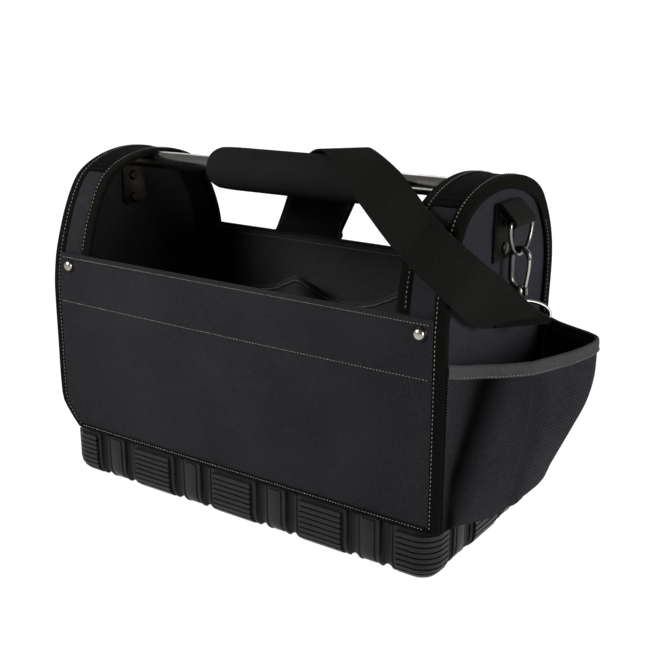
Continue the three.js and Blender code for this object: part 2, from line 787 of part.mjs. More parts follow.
// A thin strip with a centre line in the xz plane, run across the bag.
function foldedStrip(side, path, thickness, middleY, halfWidth) {
  const line = path.map(([reach, z]) => new THREE.Vector2(reach, z));
  const edge = (push) =>
    line.map((p, k) => {
      const run = line[Math.min(k + 1, line.length - 1)].clone().sub(line[Math.max(k - 1, 0)]).normalize();
      return [side * (HALF_LENGTH + p.x + run.y * push), p.y - run.x * push];
    });
  const section = [...edge(thickness / 2), ...edge(-thickness / 2).reverse()];
  const frames = [-halfWidth, halfWidth].map((step) => ({
    at: new THREE.Vector3(0, middleY + step, 0),
    across: new THREE.Vector3(1, 0, 0),
    up: new THREE.Vector3(0, 0, 1),
  }));
  return sweep(section, frames);
}

// A wire bent through points of one plane: a many-sided section square to the wire at each point.
function wire(points, radius, plane, loop) {
  const n = points.length;
  const sides = 6;
  const section = [];
  for (let k = 0; k < sides; k++) {
    const angle = (2 * Math.PI * (k + 0.5)) / sides;
    section.push([radius * Math.cos(angle), radius * Math.sin(angle)]);
  }
  const frames = points.map((p, k) => {
    const before = points[loop ? (k + n - 1) % n : Math.max(k - 1, 0)];
    const after = points[loop ? (k + 1) % n : Math.min(k + 1, n - 1)];
    const run = after.clone().sub(before).normalize();
    return { at: p, across: run.cross(plane).normalize(), up: plane };
  });
  return sweep(section, frames, loop);
}

// A D-shaped loop hung from a point: a straight bar and a round bow.
function dLoop(middle, along, towardsBow, halfBar, depth) {
  const flat = [[-halfBar + 2, 0], [halfBar - 2, 0]];
  for (let k = 0; k <= 8; k++) {
    const angle = (Math.PI * k) / 8;
    flat.push([halfBar * Math.cos(angle), 4 + (depth - 4) * Math.sin(angle)]);
  }
  return flat.map(([a, b]) => middle.clone().addScaledVector(along, a).addScaledVector(towardsBow, b));
}

const DOWN = new THREE.Vector3(0, 0, -1);
const ALONG_X = new THREE.Vector3(1, 0, 0);
const ALONG_Y = new THREE.Vector3(0, 1, 0);
const RING_DROP = 27;

function dRing(side) {
  const bar = new THREE.Vector3(side * RING_X, TAB_Y, RING_Z);
  return wire(dLoop(bar, ALONG_Y, DOWN, 20.5, RING_DROP), RING_WIRE, ALONG_X, true);
}

const CLAW_RADIUS = 7.5;
const HOOK_WIRE = 2.2;
const clawZ = RING_Z - RING_DROP + RING_WIRE + GAP + HOOK_WIRE - CLAW_RADIUS;
const BOSS_LOW = 217.5;

// The hook's bar, from the claw's tip over the ring and down its spine to the boss.
function hookLine(side) {
  const points = [];
  for (let degrees = 0; degrees <= 180; degrees += 30) {
    const angle = THREE.MathUtils.degToRad(degrees);
    points.push([CLAW_RADIUS * Math.cos(angle), clawZ + CLAW_RADIUS * Math.sin(angle)]);
  }
  points.push([-CLAW_RADIUS, 237], [-5.6, 231], [-1.4, 226.5], [0, 221]);
  return points.map(([x, z]) => new THREE.Vector3(side * (HOOK_X + x), TAB_Y, z));
}

function boss(side) {
  const profile = [[0, BOSS_LOW], [3.6, BOSS_LOW], [4.6, 219.5], [4.6, 223.5], [3, 227], [0, 227]];
  return turned(profile, 10, "z").translate(side * HOOK_X, TAB_Y, 0);
}

function hookBody() {
  const arm = box([HOOK_X + 1, TAB_Y - 2, 222], [HOOK_X + 7.2, TAB_Y + 2, GATE_PIVOT.z - 2.3]);
  return join([wire(hookLine(1), HOOK_WIRE, ALONG_Y, false), boss(1), arm]);
}

function hookGate() {
  const tip = new THREE.Vector3(HOOK_X + CLAW_RADIUS, TAB_Y, clawZ - 0.7);
  const root = new THREE.Vector3(GATE_PIVOT.x, TAB_Y, GATE_PIVOT.z - 1.6);
  const bend = new THREE.Vector3(HOOK_X + CLAW_RADIUS - 0.3, TAB_Y, clawZ - 9);
  return wire([root, bend, tip], 1.6, ALONG_Y, false);
}

const RIGHT_LOOP_TOP = new THREE.Vector3(HOOK_X, TAB_Y, 213.6);
const RIGHT_LOOP_ALONG = new THREE.Vector3(0.64, 0.77, 0).normalize();
const RIGHT_LOOP_UP = new THREE.Vector3(-0.286, 0.238, 0.928).normalize();
const LEFT_LOOP_TOP = new THREE.Vector3(-HOOK_X, TAB_Y + 1, 213.6);
const LEFT_LOOP_UP = new THREE.Vector3(0.29, 0, 0.957).normalize();
const LOOP_DEPTH = 13;

// The loop that the strap goes through, with the post that turns under the hook.
function strapLoop(top, along, up) {
  const bar = top.clone().addScaledVector(up, -LOOP_DEPTH);
  const plane = along.clone().cross(up).normalize();
  const loop = wire(dLoop(bar, along, up, 26.5, LOOP_DEPTH), RING_WIRE, plane, true);
  const post = new THREE.CylinderGeometry(2.4, 2.4, BOSS_LOW - GAP - top.z, 10).rotateX(Math.PI / 2);
  post.translate(top.x, top.y, (BOSS_LOW - GAP + top.z) / 2);
  return [loop, post];
}

function leftHook() {
  const stem = new THREE.CylinderGeometry(2.4, 2.4, 8, 10).rotateX(Math.PI / 2);
  stem.translate(-HOOK_X, TAB_Y, 217.5);
  const latchTop = new THREE.Vector3(-HOOK_X - CLAW_RADIUS, TAB_Y, clawZ + 1);
  const latchFoot = new THREE.Vector3(-HOOK_X - 2, TAB_Y, 224);
  const latch = wire([latchTop, latchFoot], 1.6, ALONG_Y, false);
  const claw = wire(hookLine(-1), HOOK_WIRE, ALONG_Y, false);
  return join([claw, boss(-1), stem, latch, ...strapLoop(LEFT_LOOP_TOP, ALONG_Y, LEFT_LOOP_UP)]);
}

for (const [side, name] of [[-1, "left"], [1, "right"]]) {
  add(`${name}_bracket`, bracket(side), "dullSteel");
  add(`${name}_upper_bolt`, bolt(side, BOLT_Z[0]), "dullSteel");
  add(`${name}_lower_bolt`, bolt(side, BOLT_Z[1]), "dullSteel");
  const tab = foldedStrip(side, TAB_PATH, 2, TAB_Y, TAB_HALF_WIDTH);
  add(`${name}_ring_tab`, cut(tab, boltHoles(side)), "webbing");
  add(`${name}_d_ring`, dRing(side), "dullSteel");
}
add("right_hook_body", hookBody(), "dullSteel");
add("right_hook_gate", hookGate(), "dullSteel");
add("right_strap_ring", join(strapLoop(RIGHT_LOOP_TOP, RIGHT_LOOP_ALONG, RIGHT_LOOP_UP)), "dullSteel");
add("left_hook", leftHook(), "dullSteel");

// Strap and pad

// The strap's middle surface: across from edge a (0) to edge b (1), along from the first row to the last.
function strapPoint(across, along) {
  const k = Math.min(Math.floor(along), STRAP.length - 2);
  const t = along - k;
  const rows = [k - 1, k, k + 1, k + 2].map((i) => STRAP[Math.min(Math.max(i, 0), STRAP.length - 1)]);
  const edges = ["a", "b"].map((edge) =>
    new THREE.Vector3(...[0, 1, 2].map((axis) => catmull(...rows.map((row) => row[edge][axis]), t))),
  );
  return edges[0].clone().lerp(edges[1], across);
}

function strapSurface(spread, from, to, offset) {
  return (u, v) => {
    const across = 0.5 + (u - 0.5) * spread;
    const along = from + (to - from) * v;
    const point = strapPoint(across, along);
    const width = strapPoint(1, along).sub(strapPoint(0, along));
    const ahead = strapPoint(across, Math.min(along + 0.02, to));
    const run = ahead.sub(strapPoint(across, Math.max(along - 0.02, from)));
    return point.addScaledVector(width.cross(run).normalize(), offset(u));
  };
}

const strapFace = (offset) => strapSurface(1, 0, STRAP.length - 1, () => offset);
const strapSteps = (STRAP.length - 1) * 2;
const strapSolid = slab(1, strapSteps, strapFace(STRAP_CLOTH / 2), strapFace(-STRAP_CLOTH / 2));
add("shoulder_strap", strapSolid, "webbing");

const padTop = -STRAP_CLOTH / 2 - 2 * GAP;
const padBelly = (u) => padTop - PAD_THICK * (1 - 0.6 * Math.abs(2 * u - 1) ** 4);
const padFace = (offset) => strapSurface(PAD_SPREAD, PAD_FROM, PAD_TO, offset);
add("shoulder_pad", slab(6, 12, padFace(() => padTop), padFace(padBelly)), "webbing");

// End pocket

const POCKET_BOTTOM = 45;
const POCKET_SHEET = 1.5;
const MOUTH_STEPS = 21;

function endPocketFace(inner) {
  return (u, v) => {
    const y = MOUTH[0].y + (MOUTH.at(-1).y - MOUTH[0].y) * u;
    const seam = lookUp(MOUTH, "y", "seam", y);
    const rise = POCKET_FULLNESS[Math.round(v * (POCKET_FULLNESS.length - 1))];
    const top = lookUp(MOUTH, "y", "top", y);
    const foot = lookUp(MOUTH, "y", "foot", y);
    const out = seam + rise.floor * (foot - seam) + rise.full * (lookUp(MOUTH, "y", "out", y) - foot);
    const lift = inner ? POCKET_SHEET * (1 - rise.rise) : 0;
    const z = POCKET_BOTTOM + rise.rise * (top - POCKET_BOTTOM) + lift;
    return new THREE.Vector3(HALF_LENGTH + out - (inner ? POCKET_SHEET : 0), y, z);
  };
}

const pocketRows = POCKET_FULLNESS.length - 1;
add("end_pocket", slab(MOUTH_STEPS, pocketRows, endPocketFace(false), endPocketFace(true)), "mesh");

function mouthBinding() {
  const section = [
    [GAP, -9],
    [1.1, -9],
    [1.1, 1.1],
    [-2.9, 1.1],
    [-2.9, -9],
    [-2, -9],
    [-2, GAP],
    [GAP, GAP],
  ];
  const face = endPocketFace(false);
  const frames = [];
  for (let k = 0; k <= MOUTH_STEPS; k++) {
    const u = k / MOUTH_STEPS;
    const at = face(u, 1);
    const run = face(Math.min(u + 0.01, 1), 1).sub(face(Math.max(u - 0.01, 0), 1));
    const across = new THREE.Vector3(run.y, -run.x, 0).normalize();
    frames.push({ at, across, up: new THREE.Vector3(0, 0, 1) });
  }
  return sweep(section, frames);
}

add("end_pocket_binding", mouthBinding(), "mouthTape");

// Pouches inside the back wall

const POUCH_BOTTOM = 62;
const POUCH_SHEET = 1.4;
const POUCH_FULLNESS = [
  { rise: 0, full: 0 },
  { rise: 0.03, full: 0.35 },
  { rise: 0.3, full: 0.6 },
  { rise: 0.65, full: 0.85 },
  { rise: 1, full: 1 },
];

function pouchFace(inner) {
  return (u, v) => {
    const x = POUCHES[0].x + (POUCHES.at(-1).x - POUCHES[0].x) * u;
    const row = POUCH_FULLNESS[Math.round(v * (POUCH_FULLNESS.length - 1))];
    const base = GAP + POUCH_SHEET;
    const out = base + row.full * (lookUp(POUCHES, "x", "out", x) - base + 0.4);
    const lift = inner ? POUCH_SHEET * (1 - row.rise) : 0;
    const z = POUCH_BOTTOM + row.rise * (lookUp(POUCHES, "x", "top", x) - POUCH_BOTTOM) + lift;
    return new THREE.Vector3(x, HALF_DEPTH - CLOTH - out + (inner ? POUCH_SHEET : 0), z);
  };
}

add("inner_pockets", slab(25, POUCH_FULLNESS.length - 1, pouchFace(false), pouchFace(true)), "cloth");

export default bag;
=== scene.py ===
# %% [markdown]
# # An open-top tool bag
# The bag is cloth on a moulded rubber base, with two arched ends, a steel tube for a handle, a foam grip,
# a shoulder strap and a full pocket on its right end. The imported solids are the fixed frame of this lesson.
# Every piece below takes its place from that frame, in metres, and is kept at the origin with no turn.

# %% Load the frame
import math

import bpy
import numpy as np
from mathutils import Matrix, Vector, noise


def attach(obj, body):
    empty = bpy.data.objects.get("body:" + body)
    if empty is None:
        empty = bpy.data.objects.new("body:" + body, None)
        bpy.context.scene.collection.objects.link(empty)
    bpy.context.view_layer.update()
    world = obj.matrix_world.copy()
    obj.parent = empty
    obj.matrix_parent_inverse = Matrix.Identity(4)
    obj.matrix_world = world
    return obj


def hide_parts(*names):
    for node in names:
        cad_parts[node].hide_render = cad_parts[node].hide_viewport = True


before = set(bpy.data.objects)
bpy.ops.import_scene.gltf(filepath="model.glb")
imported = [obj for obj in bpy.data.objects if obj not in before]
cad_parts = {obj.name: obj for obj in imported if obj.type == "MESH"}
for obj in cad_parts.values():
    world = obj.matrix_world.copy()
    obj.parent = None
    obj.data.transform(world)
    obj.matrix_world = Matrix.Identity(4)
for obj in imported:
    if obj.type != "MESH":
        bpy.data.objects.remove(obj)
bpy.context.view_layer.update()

print("solids in the frame:", len(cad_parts))

# %% [markdown]
# ## Camera
# The bag is seen from the front right and a little above. A perspective camera with a short telephoto lens
# gives the same closing lines. It is aimed by a direction, so that no turn has to be guessed.

# %% Camera
CAMERA_PLACE = Vector((0.5612, -0.7681, 0.4540))
CAMERA_AIM = Vector((0.03412, 0.0, 0.16866))
CAMERA_LENS = 58.62

camera_data = bpy.data.cameras.new("camera")
camera_data.sensor_width = 36
camera_data.lens = CAMERA_LENS
camera = bpy.data.objects.new("camera", camera_data)
bpy.context.scene.collection.objects.link(camera)
camera.location = CAMERA_PLACE
camera.rotation_mode = "QUATERNION"
camera.rotation_quaternion = (CAMERA_AIM - CAMERA_PLACE).to_track_quat("-Z", "Y")
bpy.context.scene.camera = camera
print("camera stands", round((CAMERA_AIM - CAMERA_PLACE).length, 3), "m from its aim")

# %% [markdown]
# ## Working by hand in code
# An operator acts on all that is selected, so each step first selects one piece and nothing else.
# Modifiers are applied at once, and then a piece gets its finish, its body and the solid it stands for.

# %% Selecting, applying and settling
MM = 0.001
SMOOTH_ANGLE = math.radians(42)
ROUND_ANGLE = math.radians(80)


def only(piece):
    bpy.ops.object.select_all(action="DESELECT")
    piece.select_set(True)
    bpy.context.view_layer.objects.active = piece


def pick_faces(piece, chosen):
    """Leaves a piece in edit mode, with only the faces selected that a test picks."""
    only(piece)
    bpy.ops.object.mode_set(mode="EDIT")
    bpy.ops.mesh.select_mode(type="FACE")
    bpy.ops.mesh.select_all(action="DESELECT")
    bpy.ops.object.mode_set(mode="OBJECT")
    for polygon in piece.data.polygons:
        polygon.select = chosen(polygon)
    bpy.ops.object.mode_set(mode="EDIT")


def apply_modifiers(piece):
    only(piece)
    for name in [modifier.name for modifier in piece.modifiers]:
        bpy.ops.object.modifier_apply(modifier=name)


def shade(piece, angle=SMOOTH_ANGLE):
    only(piece)
    bpy.ops.object.shade_smooth_by_angle(angle=angle)


def join_into(piece, others):
    only(piece)
    for other in others:
        other.select_set(True)
    bpy.ops.object.join()
    return piece


def settle(piece, finishes, nodes=(), body="bag"):
    sides = [polygon.material_index for polygon in piece.data.polygons]
    piece.data.materials.clear()
    for finish in finishes:
        piece.data.materials.append(finish)
    piece.data.polygons.foreach_set("material_index", [min(side, len(finishes) - 1) for side in sides])
    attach(piece, body)
    if nodes:
        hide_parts(*nodes)
    print(piece.name, "has", len(piece.data.polygons), "faces")
    return piece


# %% [markdown]
# ## Shader sockets as numbers
# A finish is a sum of small patterns, and node maths is easiest to read as plain expressions.
# This small class wraps a socket: arithmetic on it adds Math nodes, and one method adds any other node.

# %% A socket that can be added and multiplied
class Shade:
    def __init__(self, tree, socket):
        self.tree = tree
        self.socket = socket

    def node(self, kind, settings, inputs, output=0):
        made = self.tree.nodes.new(kind)
        for key, value in settings.items():
            setattr(made, key, value)
        for key, value in inputs.items():
            if isinstance(value, Shade):
                self.tree.links.new(value.socket, made.inputs[key])
            else:
                made.inputs[key].default_value = value
        return Shade(self.tree, made.outputs[output])

    def math(self, operation, *values):
        return self.node("ShaderNodeMath", {"operation": operation}, dict(enumerate(values)))

    def __add__(self, other):
        return self.math("ADD", self, other)

    def __sub__(self, other):
        return self.math("SUBTRACT", self, other)

    def __rsub__(self, other):
        return self.math("SUBTRACT", other, self)

    def __mul__(self, other):
        return self.math("MULTIPLY", self, other)

    def __gt__(self, other):
        return self.math("GREATER_THAN", self, other)

    def __abs__(self):
        return self.math("ABSOLUTE", self)

    __radd__ = __add__
    __rmul__ = __mul__


# %% [markdown]
# ## Parts of a finish
# Cloth is threads that pass over and under each other, and every finish also varies slowly over the bag.
# These helpers give a weave, a row of ribs, a cloudy noise, a mix of two colours and a bump.

# %% Patterns
def new_finish(name, coordinates, **constants):
    material = bpy.data.materials.new(name)
    material.use_nodes = True
    tree = material.node_tree
    shader = tree.nodes["Principled BSDF"]
    for key, value in constants.items():
        shader.inputs[key.replace("_", " ")].default_value = value
    source = tree.nodes.new("ShaderNodeTexCoord")
    return material, shader, Shade(tree, source.outputs[coordinates])


def object_place(place):
    return Shade(place.tree, place.socket.node.outputs["Object"])


def parts(place):
    first = place.node("ShaderNodeSeparateXYZ", {}, {0: place})
    return [Shade(place.tree, output) for output in first.socket.node.outputs]


def sine(value):
    return value.math("SINE", value)


def weave(place, across_pitch, along_pitch):
    x, y, _ = parts(place)
    warp = sine(x * (math.pi / across_pitch))
    weft = sine(y * (math.pi / along_pitch))
    over = (warp * weft) > 0
    return over * abs(warp) + (1 - over) * abs(weft)


def ribs(place, pitch, lean):
    x, y, _ = parts(place)
    run = x * (math.cos(lean) * math.tau / pitch) + y * (math.sin(lean) * math.tau / pitch)
    return sine(run) * 0.5 + 0.5


def clouds(place, scale, detail=3):
    return place.node("ShaderNodeTexNoise", {}, {"Vector": place, "Scale": scale, "Detail": detail})


def between(value, low, high):
    settings = {"clamp": True}
    inputs = {"Value": value, "From Min": low, "From Max": high}
    return value.node("ShaderNodeMapRange", settings, inputs)


def mix(factor, first, second):
    inputs = {0: factor, 6: first, 7: second}
    return factor.node("ShaderNodeMix", {"data_type": "RGBA"}, inputs, 2)


def bump(height, strength, distance):
    return height.node("ShaderNodeBump", {}, {"Height": height, "Strength": strength, "Distance": distance})


def feed(shader, **links):
    for key, value in links.items():
        value.tree.links.new(value.socket, shader.inputs[key.replace("_", " ")])


def grey(red, green, blue):
    return (red, green, blue, 1.0)


# %% [markdown]
# ## Cloth finishes
# The walls are a coarse woven cloth, almost black with a little blue. The tapes are darker and warmer, the
# strap is thick webbing with a strong plain weave, and the end pocket is a cloth with fine leaning ribs.
# All of them read the UV map that each sheet gets in metres, so that threads follow the cloth. A value that
# a sheet may carry on its points, fold_shade, is painted shade: it makes the cloth darker in a fold.

# %% Woven cloth
WORN_SCALE = 14.0
FUZZ_SCALE = 900.0
MOTTLE_SCALE = 260.0
RIB_LEAN = math.radians(52)


def woven_finish(name, dark, light, pitch, sheen, lean=None, contrast=0.5):
    material, shader, place = new_finish(
        name, "UV", Sheen_Weight=sheen, Sheen_Roughness=0.45, Specular_IOR_Level=0.008
    )
    threads = weave(place, pitch, pitch) if lean is None else ribs(place, pitch, lean)
    worn = between(clouds(object_place(place), WORN_SCALE), 0.35, 0.7)
    fuzz = clouds(object_place(place), FUZZ_SCALE, 2)
    mottle = clouds(object_place(place), MOTTLE_SCALE, 2)
    # fold_shade is painted shade: a value on the points that darkens the cloth's tone in a fold.
    folded = place.node("ShaderNodeAttribute", {"attribute_name": "fold_shade"}, {}, 2)
    tone = between(threads * contrast + worn * 0.2 + fuzz * 0.3 + mottle * 0.45, 0.35, 0.6 + contrast)
    tone = tone * (1 - folded)
    feed(shader, Base_Color=mix(tone, grey(*dark), grey(*light)))
    feed(shader, Roughness=between(threads + fuzz, -0.8, 2.4) * 0.4 + 0.6)
    feed(shader, Normal=bump(threads + fuzz * 0.4, 0.6, pitch * 0.4))
    return material


cloth = woven_finish("coarse_cloth", (0.0066, 0.0066, 0.0074), (0.0198, 0.02, 0.0222), 0.0011, 0.01)
# The end panels get the wall cloth made lighter, which paints in the light that falls on the ends.
lit_end_cloth = woven_finish("end_panel_lit_cloth", (0.0092, 0.0092, 0.011), (0.0265, 0.0267, 0.0318), 0.0011, 0.01)
lining = woven_finish("black_lining", (0.005, 0.005, 0.0051), (0.0155, 0.0155, 0.0158), 0.0013, 0.0)
# The inside of the back wall, the pouches and their hem get the lining made lighter, which paints in light
# inside the bag.
lit_inner_cloth = woven_finish("lit_inner_cloth", (0.0085, 0.0085, 0.0086), (0.0235, 0.0235, 0.0238), 0.0013, 0.0)
tape = woven_finish(
    "binding_tape", (0.0014, 0.0014, 0.0011), (0.0054, 0.0053, 0.0044), 0.0016, 0.01, contrast=0.9
)
# The band is the tape's cloth made darker, which paints in the shade on the top of the arch.
shaded_band_cloth = woven_finish("shaded_band_cloth", (0.0009, 0.0009, 0.0008), (0.0028, 0.0028, 0.0025), 0.0012, 0.01)
tab_webbing = woven_finish(
    "tab_webbing", (0.003, 0.003, 0.0027), (0.0135, 0.0135, 0.0126), 0.0018, 0.01, contrast=0.9
)
webbing = woven_finish(
    "strap_webbing", (0.0006, 0.0006, 0.0005), (0.0102, 0.0102, 0.0093), 0.0021, 0.01, contrast=1.6
)
mesh_cloth = woven_finish(
    "ribbed_pocket_cloth", (0.0012, 0.0012, 0.0014), (0.0325, 0.0325, 0.037), 0.0019, 0.01, RIB_LEAN, 1.2
)
mouth_tape = woven_finish("mouth_tape", (0.023, 0.023, 0.0242), (0.051, 0.051, 0.0535), 0.0009, 0.02)
print("cloth finishes made")

# %% [markdown]
# ## Rubber, foam and metal
# The base is moulded rubber with a fine grain and duller patches. The grip is closed-cell foam.
# The tube is bright plating with faint smudges, and the fittings are a darker satin plating.

# %% Hard and foam finishes
def moulded_finish(name, dark, light, grain, rough, index):
    material, shader, place = new_finish(name, "Object", IOR=index)
    patches = between(clouds(place, 22.0), 0.35, 0.7)
    fine = clouds(place, grain, 2)
    feed(shader, Base_Color=mix(between(patches * 0.5 + fine * 0.6, 0.2, 0.9), grey(*dark), grey(*light)))
    feed(shader, Roughness=patches * 0.14 + rough)
    feed(shader, Normal=bump(fine, 0.3, 0.0003))
    return material


def plated_finish(name, deep, bright, rough, grain):
    material, shader, place = new_finish(name, "Object", Metallic=1.0)
    smudges = between(clouds(place, 60.0, 4), 0.35, 0.7)
    fine = clouds(place, grain, 2)
    feed(shader, Base_Color=mix(smudges, grey(*bright), grey(*deep)))
    feed(shader, Roughness=smudges * 0.1 + fine * 0.06 + rough)
    feed(shader, Normal=bump(fine, 0.04, 0.0002))
    return material


def thread_finish(name, clean, worn):
    material, shader, place = new_finish(name, "Object", Specular_IOR_Level=0.2)
    soiled = between(clouds(place, 90.0), 0.3, 0.7)
    feed(shader, Base_Color=mix(soiled, grey(*clean), grey(*worn)))
    feed(shader, Roughness=soiled * 0.1 + 0.75)
    return material


rubber = moulded_finish(
    "moulded_rubber", (0.0062, 0.0062, 0.0065), (0.0124, 0.0124, 0.013), 1400.0, 0.4, 1.24
)
foam = moulded_finish("grip_foam", (0.0045, 0.0045, 0.0045), (0.0085, 0.0085, 0.0085), 700.0, 0.85, 1.12)
bright_steel = plated_finish("bright_tube", (0.42, 0.4, 0.38), (0.7, 0.69, 0.67), 0.1, 500.0)
dull_steel = plated_finish("satin_plating", (0.24, 0.22, 0.2), (0.42, 0.4, 0.37), 0.22, 900.0)
ring_steel = plated_finish("ring_plating", (0.1, 0.093, 0.085), (0.2, 0.19, 0.175), 0.2, 900.0)
# The hook's body gets a darker plating than its gate, which paints in the shade on the body.
shaded_hook_steel = plated_finish("shaded_hook_plating", (0.05, 0.047, 0.044), (0.12, 0.114, 0.107), 0.2, 900.0)
dark_steel = plated_finish("dark_plating", (0.009, 0.0078, 0.006), (0.019, 0.0165, 0.013), 0.34, 900.0)
thread = thread_finish("stitch_thread", (0.17, 0.166, 0.154), (0.09, 0.088, 0.082))
dark_thread = thread_finish("dark_thread", (0.006, 0.006, 0.0057), (0.0035, 0.0035, 0.0032))
print("hard finishes made")

# %% [markdown]
# ## The lines of the bag
# Both ends start from one arch, and nearly every piece of cloth hangs on it. The arch is a straight side,
# a shoulder and a top, measured by its length. The left end bellies out and tucks in under its corners.
# The shapes are worked in millimetres over the level where the cloth stands. They are turned to metres
# at the end.

# %% Arch and ends
RISE = 5.5
HALF_LENGTH = 207
HALF_DEPTH = 97
CLOTH_BOTTOM = 43.4
CLOTH = 2.2
SPRING = 200
SHOULDER = (72, 287)
ARCH_TOP = 310.5
SHIFT_OVER = 100
RIGHT_LIFT = 4
LEFT_DROP = 2.4
LEFT_NARROW = 0.05
NARROW_FROM = 210
NARROW_OVER = 70
BACK_BULGE = 5
BULGE_Z = 245
BULGE_SPREAD = 35
BELLY_FROM = 150
BELLY_OVER = 50
TUCK_FROM = 68
TUCK_OVER = 20
SIDES = [(-1, "left"), (1, "right")]
FACES = [(-1, "front"), (1, "back")]
LEFT_BELLY = [
    (43, -13.5),
    (53, -4),
    (67, 6),
    (86, 8),
    (128, 7.5),
    (187, 6.5),
    (215, 2.6),
    (236, 0.4),
    (255, 0),
    (330, 0),
]


def ease(t):
    c = min(max(t, 0.0), 1.0)
    return c * c * (3 - 2 * c)


def catmull(p0, p1, p2, p3, t):
    c = -p0 + 3 * p1 - 3 * p2 + p3
    b = 2 * p0 - 5 * p1 + 4 * p2 - p3
    return p1 + 0.5 * t * (p2 - p0 + t * (b + t * c))


def near_rows(rows, k):
    """A row, the one before it and the two after it, for a smooth curve between rows."""
    return [rows[min(max(i, 0), len(rows) - 1)] for i in range(k - 1, k + 3)]


def curve_point(near, t):
    return Vector([catmull(*(point[axis] for point in near), t) for axis in range(3)])


def look_up(rows, value):
    """The second column of a table at a value of its first, along a smooth curve."""
    k = next((i for i, row in enumerate(rows) if row[0] >= value), len(rows) - 1)
    near = near_rows(rows, max(k, 1) - 1)
    low, high = near[1][0], near[2][0]
    t = min(max((value - low) / (high - low), 0), 1)
    return catmull(*(row[1] for row in near), t)


def bezier(p0, p1, p2, p3, steps):
    t = np.linspace(0, 1, steps)[:, None]
    corners = [np.array(p, float) for p in (p0, p1, p2, p3)]
    shares = [(1 - t) ** 3, 3 * (1 - t) ** 2 * t, 3 * (1 - t) * t**2, t**3]
    return sum(share * corner for share, corner in zip(shares, corners))


straight = np.linspace((HALF_DEPTH, CLOTH_BOTTOM), (HALF_DEPTH, SPRING), 200)
shoulder = bezier((HALF_DEPTH, SPRING), (HALF_DEPTH, 240), (86, 270), SHOULDER, 300)
crown = bezier(SHOULDER, (59, 303), (25, ARCH_TOP), (0, ARCH_TOP), 300)
ARCH = np.vstack([straight, shoulder[1:], crown[1:]])
ARCH_RUN = np.concatenate([[0], np.cumsum(np.linalg.norm(np.diff(ARCH, axis=0), axis=1))])
ARCH_LENGTH = ARCH_RUN[-1]


def arch_at(s, offset=0.0):
    """The arch's y and z and its outward direction, from 0 at the front's foot to 2 at the back's."""
    face = -1 if s <= 1 else 1
    reach = (s if s <= 1 else 2 - s) * ARCH_LENGTH
    y, z = (np.interp(reach, ARCH_RUN, ARCH[:, k]) for k in (0, 1))
    step = 0.5
    ahead = [np.interp(min(reach + step, ARCH_LENGTH), ARCH_RUN, ARCH[:, k]) for k in (0, 1)]
    behind = [np.interp(max(reach - step, 0), ARCH_RUN, ARCH[:, k]) for k in (0, 1)]
    run = np.subtract(ahead, behind) / np.linalg.norm(np.subtract(ahead, behind))
    normal_y, normal_z = face * run[1], -run[0]
    return face * y + normal_y * offset, z + normal_z * offset, normal_y, normal_z


def arch_place(z):
    """How far along the front half of the arch a height is reached."""
    return float(np.interp(z, ARCH[:, 1], ARCH_RUN)) / ARCH_LENGTH


def end_x(side, reach, z, y=HALF_DEPTH):
    if side > 0:
        return reach
    belly = look_up(LEFT_BELLY, z)
    share = ease((abs(y) - TUCK_FROM) / TUCK_OVER) if belly < 0 else 1
    return -(reach + belly * share * ease((reach - BELLY_FROM) / BELLY_OVER))


def end_arch(side, s, offset=0.0):
    """One end's arch: the left one is narrower and lower, the right one higher and full at the back."""
    y, z, normal_y, normal_z = arch_at(s, offset)
    shift = ease((z - SPRING) / SHIFT_OVER)
    if side < 0:
        narrow = 1 - LEFT_NARROW * ease((z - NARROW_FROM) / NARROW_OVER)
        return y * narrow, z - LEFT_DROP * shift, normal_y, normal_z
    bulge = BACK_BULGE * math.exp(-(((z - BULGE_Z) / BULGE_SPREAD) ** 2)) if s > 1 else 0
    return y + bulge, z + RIGHT_LIFT * shift, normal_y, normal_z


def metres(point):
    x, y, z = point
    return Vector((x * MM, y * MM, (z + RISE) * MM))


spring_place = arch_place(SPRING)
print("half an arch is", round(ARCH_LENGTH, 1), "mm long")

# %% [markdown]
# ## A sheet of cloth
# A sheet could start as a plane that is pushed into shape, but the bag's cloths follow curved lines.
# So each one is a grid of points on its own surface, with a UV map that measures the cloth in metres.
# Solidify then gives it its thickness on the inner side, where the lining shows.

# %% Sheets from a grid
BAG_MIDDLE = Vector((0, 0, 0.15))
INSIDE = -1.0
CENTRED = 0.0


def grid_points(surface, columns, rows):
    return np.array([[metres(surface(u, v)) for u in columns] for v in rows])


def cloth_uv(points):
    across = np.linalg.norm(np.diff(points, axis=1), axis=2)
    along = np.linalg.norm(np.diff(points, axis=0), axis=2)
    u = np.pad(np.cumsum(across, axis=1), ((0, 0), (1, 0)))
    v = np.pad(np.cumsum(along, axis=0), ((1, 0), (0, 0)))
    return u - u[:, u.shape[1] // 2][:, None], v


def facing_share(mesh, columns, lead):
    shown = [polygon for polygon in mesh.polygons if polygon.index % columns < lead]
    return sum(polygon.area * polygon.normal.dot(polygon.center - BAG_MIDDLE) for polygon in shown)


